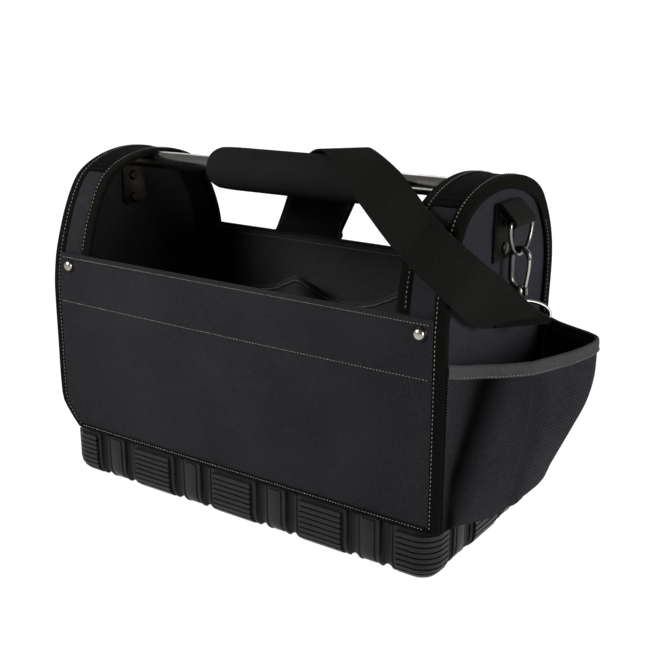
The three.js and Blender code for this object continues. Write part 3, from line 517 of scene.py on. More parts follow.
def grid_mesh(name, points, kept=None, inward=False, lead=None):
    count_v, count_u, _ = points.shape
    faces = []
    for j in range(count_v - 1):
        for i in range(count_u - 1):
            if kept is None or kept(i, j):
                here = j * count_u + i
                faces.append((here, here + 1, here + count_u + 1, here + count_u))
    mesh = bpy.data.meshes.new(name)
    mesh.from_pydata(points.reshape(-1, 3).tolist(), [], faces)
    for _ in range(2):
        mesh.materials.append(None)
    u, v = (values.ravel() for values in cloth_uv(points))
    layer = mesh.uv_layers.new(name="cloth")
    for loop in mesh.loops:
        layer.data[loop.index].uv = (u[loop.vertex_index], v[loop.vertex_index])
    if (facing_share(mesh, count_u - 1, lead or count_u) < 0) != inward:
        mesh.flip_normals()
    piece = bpy.data.objects.new(name, mesh)
    bpy.context.scene.collection.objects.link(piece)
    only(piece)
    bpy.ops.object.mode_set(mode="EDIT")
    bpy.ops.mesh.select_all(action="SELECT")
    bpy.ops.mesh.delete_loose(use_verts=True, use_edges=True, use_faces=False)
    bpy.ops.object.mode_set(mode="OBJECT")
    return piece


def thicken(piece, thick, offset=INSIDE):
    solidify = piece.modifiers.new("thickness", "SOLIDIFY")
    solidify.thickness = thick * MM
    solidify.offset = offset
    solidify.material_offset = 1
    apply_modifiers(piece)
    shade(piece)


def flat_size(points, kept=None):
    """The cut's width, length and area in metres, from the surface that it was laid over."""
    across = np.linalg.norm(np.diff(points, axis=1), axis=2).sum(axis=1)
    along = np.linalg.norm(np.diff(points, axis=0), axis=2).sum(axis=0)
    area = 0.0
    for j in range(points.shape[0] - 1):
        for i in range(points.shape[1] - 1):
            if kept is None or kept(i, j):
                first = points[j + 1, i + 1] - points[j, i]
                second = points[j + 1, i] - points[j, i + 1]
                area += np.linalg.norm(np.cross(first, second)) / 2
    return (float(across.max()), float(along.max())), float(area)


def cloth_piece(name, surface, columns, rows, thick, offset=INSIDE, kept=None, inward=False, lead=None):
    points = grid_points(surface, columns, rows)
    piece = grid_mesh(name, points, kept, inward, lead)
    thicken(piece, thick, offset)
    return piece, flat_size(points, kept)


def steps(low, high, count):
    return [float(value) for value in np.linspace(low, high, count + 1)]


def stepped(places, counts):
    """Steps through several stretches, each with its own count."""
    line = [float(places[0])]
    for low, high, count in zip(places, places[1:], counts):
        line += steps(low, high, count)[1:]
    return line


def ripple(x, y, z, size, depth):
    return depth * noise.noise(Vector((x, y, z)) / size)


# %% [markdown]
# ## Stitches
# Stitches run along every seam and make the bag read as sewn. They are pale on the cloth, and dark on the
# bands, the tabs and the grip. One stitch is modelled as a short thread with rounded ends. It is copied
# along each seam, lying on the cloth, so a seam is one piece of many stitches.

# %% One stitch, and seams of it
STITCH_LENGTH = 2.5
STITCH_RADIUS = 0.35
STITCH_SHARE = 0.68
FINE_PITCH = 2.9
LONG_PITCH = 3.7


def model_stitch():
    bpy.ops.object.select_all(action="DESELECT")
    middle = STITCH_LENGTH * 0.6 * MM
    bpy.ops.mesh.primitive_cylinder_add(vertices=6, radius=STITCH_RADIUS * MM, depth=middle)
    stitch = bpy.context.object
    stitch.name = "stitch"
    for end in (-1, 1):
        bpy.ops.object.mode_set(mode="OBJECT")
        for polygon in stitch.data.polygons:
            polygon.select = polygon.normal.z * end > 0.9
        bpy.ops.object.mode_set(mode="EDIT")
        bpy.ops.mesh.select_mode(type="FACE")
        step = end * STITCH_LENGTH * 0.2 * MM
        bpy.ops.mesh.extrude_region_move(TRANSFORM_OT_translate={"value": (0, 0, step)})
        bpy.ops.transform.resize(value=(0.45, 0.45, 1))
    bpy.ops.object.mode_set(mode="OBJECT")
    points = np.array([vertex.co[:] for vertex in stitch.data.vertices])
    faces = [tuple(polygon.vertices) for polygon in stitch.data.polygons]
    bpy.data.objects.remove(stitch)
    return points, faces


stitch_points, stitch_faces = model_stitch()
print("a stitch has", len(stitch_faces), "faces")


def seam(name, lines, pitch, finish):
    """Stitches along lines of points and outward directions, in millimetres."""
    corners = []
    faces = []
    one = stitch_points * (1, 1, pitch * STITCH_SHARE / STITCH_LENGTH)
    for line in lines:
        places = np.array([metres(point) for point, _ in line])
        ups = np.array([Vector(up).normalized() for _, up in line])
        run = np.concatenate([[0], np.cumsum(np.linalg.norm(np.diff(places, axis=0), axis=1))])
        count = max(int(run[-1] / (pitch * MM)), 1)
        for k in range(count):
            middle = (k + 0.5) * run[-1] / count
            reach = 0.4 * pitch * MM
            at, ahead, behind = (
                np.array([np.interp(middle + step, run, places[:, axis]) for axis in range(3)])
                for step in (0, reach, -reach)
            )
            up = Vector([np.interp(middle, run, ups[:, axis]) for axis in range(3)])
            along = Vector(ahead - behind).normalized()
            side = up.cross(along).normalized()
            turn = np.array([side, along.cross(side), along]).T
            base = len(corners)
            corners.extend((one @ turn.T + at).tolist())
            faces.extend(tuple(base + index for index in face) for face in stitch_faces)
    mesh = bpy.data.meshes.new(name)
    mesh.from_pydata(corners, [], faces)
    piece = bpy.data.objects.new(name, mesh)
    bpy.context.scene.collection.objects.link(piece)
    shade(piece, ROUND_ANGLE)
    return settle(piece, [finish])


# %% [markdown]
# ## Long walls with their ears
# The front and the back are one cloth each: a low wall between two ears that run up into the arches.
# A plane with a notch would do, but the ears curve over the shoulder. So the grid runs along the arch,
# and above the wall's top edge only the columns of the ears are kept.

# %% Front and back walls
WALL_TOP = 217
BAND_INNER = 169
SEAM_PLACE = 0.8
OWN_FROM = 100
OWN_OVER = 60
EAR_COLUMNS = [169, 176, 184, 192, 200, 207]
MIDDLE_COLUMNS = [0, 40, 80, 120, 150, 160]


def wall_columns():
    right = [*MIDDLE_COLUMNS, *EAR_COLUMNS]
    return [-reach for reach in reversed(right[1:])] + right


def wall_rows():
    low = [arch_place(z) for z in steps(CLOTH_BOTTOM, WALL_TOP, 22)]
    return low + steps(arch_place(WALL_TOP), SEAM_PLACE - 0.001, 16)[1:]


def long_wall(face):
    def surface(reach, s):
        place = s if face < 0 else 2 - s
        side = 1 if reach >= 0 else -1
        share = ease((abs(reach) - OWN_FROM) / OWN_OVER)
        plain, own = arch_at(place)[:2], end_arch(side, place)[:2]
        y, z = (low + share * (high - low) for low, high in zip(plain, own))
        return end_x(side, abs(reach), z), y, z

    columns = wall_columns()
    rows = wall_rows()
    top = arch_place(WALL_TOP) + 1e-4

    def kept(i, j):
        ear = min(abs(columns[i]), abs(columns[i + 1])) >= BAND_INNER
        return ear or rows[j + 1] <= top

    return surface, columns, rows, kept


for face, name, inside in [(-1, "front", lining), (1, "back", lit_inner_cloth)]:
    surface, columns, rows, kept = long_wall(face)
    wall, size = cloth_piece(f"{name}_wall_cloth", surface, columns, rows, CLOTH, kept=kept)
    settle(wall, [cloth, inside], [f"{name}_wall"])

# %% [markdown]
# ## End walls
# Each end is a stiff padded panel under the arch. Its face pulls in a little along the edge, where it is
# sewn into the binding. So it is a grid across the arch whose rim is drawn back, with a thick inner side.

# %% Padded end walls
GAP = 0.3
END_WALL = 5
PANEL_TOP = 0.992
RIM_DRAWN = 1.3


def end_wall_surface(side):
    def surface(u, s):
        y, z, _, _ = end_arch(side, s if u < 0 else 2 - s, -CLOTH - GAP)
        rim = max(abs(u) ** 6, ease((s - 0.86) / 0.14), ease((0.03 - s) / 0.03))
        place = y * abs(u)
        x = end_x(side, HALF_LENGTH, z, place) - side * RIM_DRAWN * rim
        return x, place, z

    return surface


for side, name in SIDES:
    rows = stepped([0, spring_place, PANEL_TOP], [18, 26])
    panel, _ = cloth_piece(f"{name}_end_panel", end_wall_surface(side), steps(-1, 1, 24), rows, END_WALL)
    settle(panel, [lit_end_cloth, lining], [f"{name}_end_wall"])

# %% [markdown]
# ## Bands and bindings of the arches
# A band painted darker for shade closes each arch's top between the ears; tape binds its outer and inner
# edges.
# A tape is a narrow strip folded round an edge. Its folded section is drawn once as a line of points and
# carried along the arch, and Solidify makes it a real thickness of tape.

# %% Top bands and tapes
BAND_PROUD = 0.9
TAPE_FROM = 221
TAPE_CLOTH = 1.0
FOLD_LEAD = 6
FRONT_SHARE = 0.62
BACK_SHARE = 1.2
EDGE_FOLD = [
    (-8.2, 0.9),
    (-7.4, 1.5),
    (-4.0, 1.9),
    (-0.6, 2.1),
    (1.4, 1.9),
    (2.7, 0.9),
    (3.2, -0.8),
    (3.3, -4.0),
    (3.0, -8.2),
    (2.4, -9.2),
]
INNER_FOLD = [
    (8.4, 1.0),
    (7.6, 1.5),
    (4.0, 1.7),
    (0.4, 1.8),
    (-1.6, 1.3),
    (-2.7, 0.0),
    (-2.9, -1.4),
    (-2.4, -3.0),
    (-0.8, -3.7),
    (3.0, -3.6),
    (7.0, -3.4),
]


def on_fold(fold, u):
    k = min(int(u), len(fold) - 2)
    near = near_rows(fold, k)
    return tuple(catmull(*(row[axis] for row in near), u - k) for axis in (0, 1))


def along_fold(fold, fine=2):
    return steps(0, len(fold) - 1, fine * (len(fold) - 1))


def tape_surface(side, line, fold):
    def surface(u, s):
        y, z, normal_y, normal_z = end_arch(side, s)
        across, up = on_fold(fold, u)
        if fold is EDGE_FOLD and up < 0:
            up *= FRONT_SHARE + (BACK_SHARE - FRONT_SHARE) * ease((s - 0.8) / 0.4)
        x = end_x(side, line, z) + side * across
        return x, y + normal_y * up, z + normal_z * up

    return surface


def band_surface(side):
    def surface(reach, s):
        y, z, _, _ = end_arch(side, s, BAND_PROUD)
        return end_x(side, reach, z), y, z

    return surface


tape_low = arch_place(TAPE_FROM)
whole_arch = stepped([0, spring_place, 2 - spring_place, 2], [20, 70, 20])
for side, name in SIDES:
    rows = steps(SEAM_PLACE, 2 - SEAM_PLACE, 44)
    reaches = steps(BAND_INNER, HALF_LENGTH, 6)
    label = f"{name}_top_band_cloth"
    band, size = cloth_piece(label, band_surface(side), reaches, rows, CLOTH + BAND_PROUD)
    settle(band, [shaded_band_cloth, lining], [f"{name}_top_band"])
    for part, line, fold, places in [
        ("edge", HALF_LENGTH, EDGE_FOLD, whole_arch),
        ("inner", BAND_INNER, INNER_FOLD, steps(tape_low, 2 - tape_low, 84)),
    ]:
        label = f"{name}_{part}_tape"
        surface = tape_surface(side, line, fold)
        strip, size = cloth_piece(label, surface, along_fold(fold), places, TAPE_CLOTH, lead=FOLD_LEAD)
        settle(strip, [tape, tape], [f"{name}_{part}_binding"])

# %% [markdown]
# ## Flat pockets
# The front and the back each carry a wide flat pocket. Its cloth is doubled above a second seam and turned
# in at the top, which shows as two small steps. It swells a little in the middle with slow ripples.

# %% Front and back pockets
POCKET_TOP = 220
POCKET_CLOTH = 1.6
POCKET_REACH = HALF_LENGTH - 6.6
SECOND_SEAM = 172
TOP_SEAM = 216
DOUBLED = 0.5
TURNED = 0.4
STEP_OVER = 1.6
RIPPLE_SIZE = 55
RIPPLE_DEPTH = 1.1


def pocket_surface(face, bow):
    def surface(c, z):
        side = 1 if c >= 0 else -1
        rise = (z - CLOTH_BOTTOM) / (POCKET_TOP - CLOTH_BOTTOM)
        belly = bow * math.cos(c * math.pi / 2) * math.sin(rise * math.pi)
        doubled = DOUBLED * ease((z - SECOND_SEAM + 0.8) / STEP_OVER)
        turned = TURNED * ease((z - TOP_SEAM + 3) / STEP_OVER)
        soft = math.cos(c * math.pi / 2) * math.sin(min(rise * 1.15, 1) * math.pi)
        slack = soft * ripple(c * 200, face * 50, z, RIPPLE_SIZE, RIPPLE_DEPTH)
        y = HALF_DEPTH + GAP + POCKET_CLOTH + belly + (doubled + turned) + slack
        return end_x(side, abs(c) * POCKET_REACH, z), face * y, z

    return surface


pocket_rows = stepped([CLOTH_BOTTOM, 168, 176, 210, POCKET_TOP], [30, 8, 10, 10])
pocket_columns = stepped([-1, -0.75, 0.75, 1], [14, 40, 14])
pocket_faces = {}
for face, name, bow in [(-1, "front", 2.5), (1, "back", 0.6)]:
    pocket_faces[name] = pocket_surface(face, bow)
    label = f"{name}_pocket_cloth"
    flap, size = cloth_piece(label, pocket_faces[name], pocket_columns, pocket_rows, POCKET_CLOTH)
    settle(flap, [cloth, lining], [f"{name}_pocket"])

# %% [markdown]
# A dark tape is rolled along the foot of each pocket, over the joint to the base.

# %% Hem tapes
HEM_FOLD = [
    (1.7, 43.3),
    (1.7, 45.5),
    (1.5, 47.4),
    (0.9, 48.4),
    (0.4, 47.4),
    (0.3, 45.5),
    (0.3, 43.3),
]
HEM_CLOTH = 0.5
HEM_LEAD = 4


def hem_surface(face, surface):
    def hem(u, c):
        out, z = on_fold(HEM_FOLD, u)
        x, y, _ = surface(c, z)
        return x, y + face * out, z

    return hem


for face, name in FACES:
    label = f"{name}_hem_tape"
    foot = hem_surface(face, pocket_faces[name])
    hem, size = cloth_piece(label, foot, along_fold(HEM_FOLD), pocket_columns, HEM_CLOTH, lead=HEM_LEAD)
    settle(hem, [tape, tape])

# %% [markdown]
# ## Seams on the walls, pockets and arches
# The stitches follow the sewing: two rows across each pocket, its hem, both edges of every arch, and the
# ends of its band. Each line is read from the surface that it is sewn to, so the thread lies on the cloth.

# %% Stitch lines
THREAD_LIFT = 0.25
HEM_SEAM = 46.9
HEM_OUT = 1.75
EDGE_SEAM = (-4.9, 1.95)
INNER_SEAM = (5.8, 1.75)
FACE_SEAM = (3.25, 8.6, 1.3, 1.6)
POCKET_SEAM = 0.985
BAND_SEAM = (178, 198)
LINE_STEPS = 160


def pocket_line(face, surface, z, out=0):
    lines = []
    for c in steps(-POCKET_SEAM, POCKET_SEAM, 120):
        x, y, height = surface(c, z)
        lines.append(((x, y + face * (out + THREAD_LIFT), height), (0, face, 0)))
    return lines


def arch_line(side, line, across, up, low, high):
    points = []
    for s in steps(low, high, LINE_STEPS):
        y, z, normal_y, normal_z = end_arch(side, s)
        x = end_x(side, line, z) + side * across
        lift = up + THREAD_LIFT
        points.append(((x, y + normal_y * lift, z + normal_z * lift), (0, normal_y, normal_z)))
    return points


def face_line(side, out, inset, low, high):
    points = []
    for s in steps(low, high, LINE_STEPS):
        y, z, _, _ = end_arch(side, s, -inset)
        x = end_x(side, HALF_LENGTH, z) + side * out
        points.append(((x, y, z), (side, 0, 0)))
    return points


def band_line(side, s):
    y, z, normal_y, normal_z = end_arch(side, s, BAND_PROUD + THREAD_LIFT)
    return [((end_x(side, reach, z), y, z), (0, normal_y, normal_z)) for reach in BAND_SEAM]


for face, name in FACES:
    lines = [pocket_line(face, pocket_faces[name], z) for z in (TOP_SEAM, SECOND_SEAM)]
    lines.append(pocket_line(face, pocket_faces[name], HEM_SEAM, HEM_OUT))
    seam(f"{name}_pocket_stitches", lines, FINE_PITCH, thread)
for side, name in SIDES:
    lines = [
        arch_line(side, HALF_LENGTH, *EDGE_SEAM, 0.01, 1.99),
        arch_line(side, BAND_INNER, *INNER_SEAM, tape_low + 0.01, 1.99 - tape_low),
        face_line(side, *FACE_SEAM),
    ]
    seam(f"{name}_arch_stitches", lines, LONG_PITCH, thread)
    places = [SEAM_PLACE + 0.01, SEAM_PLACE + 0.03, 1.97 - SEAM_PLACE, 1.99 - SEAM_PLACE]
    crossing = [band_line(side, place) for place in places]
    seam(f"{name}_band_stitches", crossing, FINE_PITCH, dark_thread)

# %% [markdown]
# ## The end pocket
# The pocket on the right end is full and stands open. Its cloth goes out along a floor, up over a foot and
# on to a wide mouth. It dips in a deep fold near the front seam and in a faint one on the belly, and shade
# is painted into the cloth along both folds. Two tables give those lines: how far it stands out from seam to
# seam, and how it fills from the bottom up. The grid between them is smooth.

# %% End pocket
POCKET_BOTTOM = 45
POCKET_SHEET = 1.5
POCKET_HEIGHT = 134
# Each fold has a dent, which is real shape, and a dark share, which is painted shade in the cloth's tone; the
# two fades shape that painted shade on either side.
FOLDS = [
    {"low": -86, "lean": 34, "narrow": 9, "widen": 5, "dent": 8, "dark": 1},
    {"low": -14, "lean": -11, "narrow": 10, "widen": 3, "dent": 2.5, "dark": 0.32},
]
SEAM_FADE = 0.62
BELLY_FADE = 1.2
FOLD_HEAD = 0.1
FOLD_FOOT = 0.2
MOUTH = [
    (-95, 4.7, 4.8, 4.9, 184.3),
    (-86, 4.6, 6.2, 9, 182.5),
    (-78, 3.0, 9, 13, 181),
    (-70, 2.2, 14, 17, 180),
    (-62, 2.2, 19, 22, 179),
    (-55, 2.2, 22.5, 27, 178),
    (-48, 2.2, 25, 32, 177.4),
    (-40, 2.2, 26.5, 38, 177),
    (-30, 2.2, 27.5, 46, 177),
    (-3, 2.2, 30, 58, 178),
    (15, 2.2, 31, 67, 180),
    (33, 2.2, 31, 72, 182),
    (50, 2.2, 29, 67, 181),
    (64, 2.2, 25, 54, 179),
    (74, 2.2, 18, 37, 178),
    (83, 4.6, 10, 19, 178),
    (93, 4.6, 4.7, 4.8, 179),
]
FILLING = [
    (0, 0, 0),
    (0, 0.9, 0),
    (0.025, 1, 0.03),
    (0.1, 1, 0.13),
    (0.22, 1, 0.31),
    (0.42, 1, 0.61),
    (0.6, 1, 0.86),
    (0.78, 1, 0.99),
    (1, 1, 1),
]


def mouth_column(column, y):
    return look_up([(row[0], row[column]) for row in MOUTH], y)


def filling(column, v):
    k = min(int(v), len(FILLING) - 2)
    return catmull(*(row[column] for row in near_rows(FILLING, k)), v - k)


def fold_away(fold, y, rise):
    """How far a place lies from a fold's line, which leans, in shares of the fold's width there."""
    return (y - fold["low"] - fold["lean"] * rise) / (fold["narrow"] + fold["widen"] * rise)


def fold_dent(y, rise):
    return sum(fold["dent"] * math.exp(-(fold_away(fold, y, rise) ** 2)) for fold in FOLDS)


def fold_shade(y, rise):
    """The painted shade in the folds, which fades slowly towards the front seam and sooner on the belly."""
    shades = []
    for fold in FOLDS:
        away = fold_away(fold, y, rise)
        away *= SEAM_FADE if away < 0 else BELLY_FADE
        shades.append(fold["dark"] * math.exp(-away * away))
    return max(shades)


def end_pocket_surface(y, v):
    rise, floor, full = (filling(column, v) for column in range(3))
    seam_out, foot, mouth, top = (mouth_column(column, y) for column in (1, 2, 3, 4))
    out = seam_out + floor * (foot - seam_out) + full * (mouth - foot)
    dent = fold_dent(y, rise) * ease((1 - rise) / FOLD_HEAD) * ease(rise / FOLD_FOOT)
    out = max(out - dent, min(out, seam_out))
    return HALF_LENGTH + out, y, POCKET_BOTTOM + max(rise, 0) * (top - POCKET_BOTTOM)


def paint_fold_shade(piece):
    """Painted shade in the folds, as a number on each point that the finish reads."""
    values = []
    for vertex in piece.data.vertices:
        rise = (vertex.co.z / MM - RISE - POCKET_BOTTOM) / POCKET_HEIGHT
        values.append(fold_shade(vertex.co.y / MM, rise))
    piece.data.attributes.new("fold_shade", "FLOAT", "POINT").data.foreach_set("value", values)


pocket_ys = steps(MOUTH[0][0], MOUTH[-1][0], 110)
fill_steps = steps(0, len(FILLING) - 1, 56)
end_pocket, size = cloth_piece("end_pocket_cloth", end_pocket_surface, pocket_ys, fill_steps, POCKET_SHEET)
paint_fold_shade(end_pocket)
settle(end_pocket, [mesh_cloth, lining], ["end_pocket"])

# %% [markdown]
# A grey tape binds the mouth, folded over its edge, with one row of stitches along its lower side.

# %% Mouth tape
MOUTH_FOLD = [
    (0.5, -9.6),
    (1.3, -8.8),
    (1.5, -5.0),
    (1.4, -1.0),
    (0.9, 1.0),
    (-0.7, 1.9),
    (-2.3, 1.0),
    (-2.8, -1.0),
    (-2.9, -9.0),
]
MOUTH_CLOTH = 0.9
MOUTH_OUT = 1.5
MOUTH_SEAM = -7.8
MOUTH_MARGIN = 3
MOUTH_PITCH = 3.2


def mouth_frame(y):
    at = Vector(end_pocket_surface(y, len(FILLING) - 1))
    ahead = Vector(end_pocket_surface(min(y + 0.5, MOUTH[-1][0]), len(FILLING) - 1))
    behind = Vector(end_pocket_surface(max(y - 0.5, MOUTH[0][0]), len(FILLING) - 1))
    run = ahead - behind
    return at, Vector((run.y, -run.x, 0)).normalized()


def mouth_surface(u, y):
    at, out = mouth_frame(y)
    across, up = on_fold(MOUTH_FOLD, u)
    return at + out * across + Vector((0, 0, up))


mouth_binding, size = cloth_piece(
    "end_pocket_tape", mouth_surface, along_fold(MOUTH_FOLD), pocket_ys, MOUTH_CLOTH, lead=FOLD_LEAD
)
settle(mouth_binding, [mouth_tape, mouth_tape], ["end_pocket_binding"])


def mouth_stitches():
    line = []
    for y in steps(MOUTH[0][0] + MOUTH_MARGIN, MOUTH[-1][0] - MOUTH_MARGIN, LINE_STEPS):
        at, out = mouth_frame(y)
        line.append((at + out * (MOUTH_OUT + THREAD_LIFT) + Vector((0, 0, MOUTH_SEAM)), out))
    return line


seam("end_pocket_stitches", [mouth_stitches()], MOUTH_PITCH, thread)

# %% [markdown]
# ## Pouches inside the back wall
# Two pouches are sewn inside the back wall. Like the end pocket they are one cloth that stands out from
# seam to seam, so the same kind of grid makes them, this time facing into the bag.

# %% Inner pouches
POUCH_BOTTOM = 62
POUCH_SHEET = 1.4
POUCHES = [
    (-124, 1.6, 157),
    (-108, 5, 160),
    (-80, 17, 168),
    (-54, 29, 180),
    (-41, 33, 185),
    (-31, 25, 177),
    (-20, 7, 162),
    (-9, 1.6, 157),
    (9, 4, 159),
    (38, 17, 168),
    (64, 29, 180),
    (77, 33, 186),
    (87, 25, 177),
    (98, 7, 162),
    (109, 1.6, 157),
]
POUCH_FILLING = [(0, 0), (0.03, 0.35), (0.3, 0.6), (0.65, 0.85), (1, 1)]


def pouch_surface(x, rise):
    full = look_up(POUCH_FILLING, rise)
    base = GAP + POUCH_SHEET
    stand = look_up([(row[0], row[1]) for row in POUCHES], x)
    top = look_up([(row[0], row[2]) for row in POUCHES], x)
    out = base + full * (stand - base + 0.4)
    return x, HALF_DEPTH - CLOTH - out, POUCH_BOTTOM + rise * (top - POUCH_BOTTOM)


pouch_xs = steps(POUCHES[0][0], POUCHES[-1][0], 120)
pouches, size = cloth_piece(
    "inner_pouch_cloth", pouch_surface, pouch_xs, steps(0, 1, 24), POUCH_SHEET, inward=True
)
settle(pouches, [lit_inner_cloth, lining], ["inner_pockets"])

# %% [markdown]
# The pouches' top edge is turned over and sewn down. A line for its section, carried along the edge, gives
# that hem as it gave the tapes. The back wall has a row of stitches under its own top edge.

# %% Pouch hem and inner seams
POUCH_FOLD = [
    (0.8, -5.2),
    (0.8, -2.6),
    (0.8, -0.4),
    (0.4, 0.8),
    (-0.6, 1.1),
    (-1.5, 0.6),
    (-1.6, -0.6),
    (-1.6, -5.0),
]
POUCH_OUT = 0.8
POUCH_SEAM = 3.6
BACK_HEM = 4


def pouch_hem_surface(u, x):
    across, up = on_fold(POUCH_FOLD, u)
    place, y, z = pouch_surface(x, 1)
    return place, y - across, z + up


pouch_folds = along_fold(POUCH_FOLD)
pouch_hem, size = cloth_piece(
    "inner_pouch_hem", pouch_hem_surface, pouch_folds, pouch_xs, HEM_CLOTH, inward=True, lead=HEM_LEAD
)
settle(pouch_hem, [lit_inner_cloth, lit_inner_cloth])


def pouch_seam(x):
    place, y, z = pouch_surface(x, 1)
    return (place, y - POUCH_OUT - THREAD_LIFT, z - POUCH_SEAM), (0, -1, 0)


def back_hem(x):
    return (x, HALF_DEPTH - CLOTH - THREAD_LIFT, WALL_TOP - BACK_HEM), (0, -1, 0)


back_line = [back_hem(x) for x in steps(-BAND_INNER, BAND_INNER, 12)]
pouch_line = [pouch_seam(x) for x in pouch_xs]
seam("inner_stitches", [back_line, pouch_line], FINE_PITCH, thread)

# %% [markdown]
# ## Shoulder strap
# The strap is flat webbing. It is sewn round the right loop, crosses the front of the arch, lies over the
# grip, hangs behind the bag and ends in the left loop. A flat strap is modelled directly: pairs of edge
# points along its run, joined by straight lines across, make one long ruled sheet.

# %% Strap
STRAP = [
    ((209.2, -17, 205.5), (240, 20, 205.5)),
    ((209.2, -17, 202.5), (240, 20, 202.5)),
    ((212.6, -19.8, 197), (243.4, 17.2, 197)),
    ((216, -22.6, 202), (246.8, 14.4, 202)),
    ((217, -49, 205), (243.5, -11, 216)),
    ((214, -75, 217), (235, -46, 243)),
    ((211, -104, 239), (225, -80, 268)),
    ((181, -97, 255.3), (206.6, -93, 287.4)),
    ((168.4, -93, 263.6), (198, -90, 292.6)),
    ((146.5, -76.2, 268.6), (188.5, -88.2, 299)),
    ((94.5, -38.5, 289), (142, -38, 308.7)),
    ((69, -27, 308), (120, -26, 320)),
    ((30, 1, 322.8), (80, 0, 328.5)),
    ((-2, 22, 312), (54, 24, 316)),
    ((-17, 37, 293), (39, 38, 294)),
    ((-32, 53, 276), (24, 53, 276)),
    ((-79, 100, 234), (-22, 100, 234)),
    ((-95, 111.5, 215), (-35, 111.5, 215)),
    ((-122, 110.5, 191), (-88, 110.5, 161)),
    ((-162, 109, 167), (-138, 109, 129)),
    ((-199, 106, 161), (-191, 106, 117)),
    ((-223, 101, 164), (-222, 101, 120)),
    ((-226, 77, 173), (-226, 63, 131)),
    ((-230, 50, 186), (-230, 22, 156)),
    ((-232.4, 26, 202), (-232.4, -20, 202)),
    ((-228, 26, 206.4), (-228, -20, 206.4)),
    ((-223.6, 26, 202), (-223.6, -20, 202)),
    ((-223.6, 26, 192), (-223.6, -20, 192)),
]
STRAP_CLOTH = 1.8
STRAP_LAST = len(STRAP) - 1


def strap_point(across, along):
    k = min(int(along), STRAP_LAST - 1)
    near = near_rows(STRAP, k)
    edges = [curve_point([row[edge] for row in near], along - k) for edge in (0, 1)]
    return edges[0].lerp(edges[1], across)


strap_rows = steps(0, STRAP_LAST, STRAP_LAST * 7)
strap, size = cloth_piece(
    "shoulder_strap_webbing", strap_point, steps(0, 1, 8), strap_rows, STRAP_CLOTH, CENTRED
)
settle(strap, [webbing, webbing], ["shoulder_strap"])

# %% [markdown]
# ## Shoulder pad
# A padded sleeve lies under the strap behind the grip. Padding is best swollen by a cloth simulation: a
# thin slab is remeshed, blown up a little with gravity off, capped so that it stays clear of the strap, and
# applied. Then a subdivision surface rounds the pad.

# %% Shoulder pad
PAD_FROM = 14
PAD_TO = 19
PAD_SPREAD = 1.36
PAD_START = 4.6
PAD_DROP = 4.2
PAD_STEP = 0.02
PAD_VOXEL = 0.0045
PAD_CAP = 0.0024
PAD_PRESSURE = 4.0
PAD_FRAMES = 20


def pad_surface(u, along):
    across = 0.5 + (u - 0.5) * PAD_SPREAD
    width = strap_point(1, along) - strap_point(0, along)
    ahead = strap_point(across, min(along + PAD_STEP, PAD_TO))
    run = ahead - strap_point(across, max(along - PAD_STEP, PAD_FROM))
    return strap_point(across, along) + width.cross(run).normalized() * -PAD_DROP


def swell(piece):
    only(piece)
    piece.data.remesh_voxel_size = PAD_VOXEL
    bpy.ops.object.voxel_remesh()
    before = np.array([vertex.co[:] for vertex in piece.data.vertices])
    blown = piece.modifiers.new("blown", "CLOTH")
    blown.settings.use_pressure = True
    blown.settings.uniform_pressure_force = PAD_PRESSURE
    blown.settings.effector_weights.gravity = 0.0
    for number in range(1, PAD_FRAMES + 1):
        bpy.context.scene.frame_set(number)
    only(piece)
    bpy.ops.object.modifier_apply(modifier="blown")
    bpy.context.scene.frame_set(1)
    after = np.array([vertex.co[:] for vertex in piece.data.vertices])
    move = after - before
    length = np.linalg.norm(move, axis=1, keepdims=True)
    capped = before + move * np.minimum(1, PAD_CAP / np.maximum(length, 1e-9))
    piece.data.vertices.foreach_set("co", capped.ravel())
    piece.data.update()


pad_rows = steps(PAD_FROM, PAD_TO, 40)
pad, _ = cloth_piece("shoulder_pad_cloth", pad_surface, steps(0, 1, 12), pad_rows, PAD_START)
swell(pad)
rounding = pad.modifiers.new("rounding", "SUBSURF")
rounding.levels = 1
rounding.render_levels = 1
apply_modifiers(pad)
shade(pad, ROUND_ANGLE)
print("pad thickness starts at", PAD_START, "mm")

# %% [markdown]
# The remesh takes the UV map away, so the pad's own finish reads Object coordinates instead.

# %% Pad finish
def pad_finish():
    material, shader, place = new_finish("pad_cloth", "Object", Sheen_Weight=0.02, Specular_IOR_Level=0.02)
    threads = weave(place, 0.0014, 0.0014)
    fuzz = clouds(place, 700.0, 2)
    tone = between(threads * 0.5 + fuzz * 0.6, 0.2, 1.0)
    feed(shader, Base_Color=mix(tone, grey(0.0012, 0.0012, 0.0012), grey(0.0052, 0.0052, 0.0048)))
    feed(shader, Roughness=fuzz * 0.15 + 0.75)
    feed(shader, Normal=bump(threads, 0.3, 0.0003))
    return material


pad_cloth = pad_finish()
settle(pad, [pad_cloth], ["shoulder_pad"])

# %% [markdown]
# ## Turned pieces
# Tubes, grips, rivets and bolts are round about one line. On a lathe a profile gives them, and by hand in
# Blender the same is done with a filled circle: extrude it to the next height, scale it to the next radius,
# and go on along the profile. The piece is then turned and moved into place in its mesh.

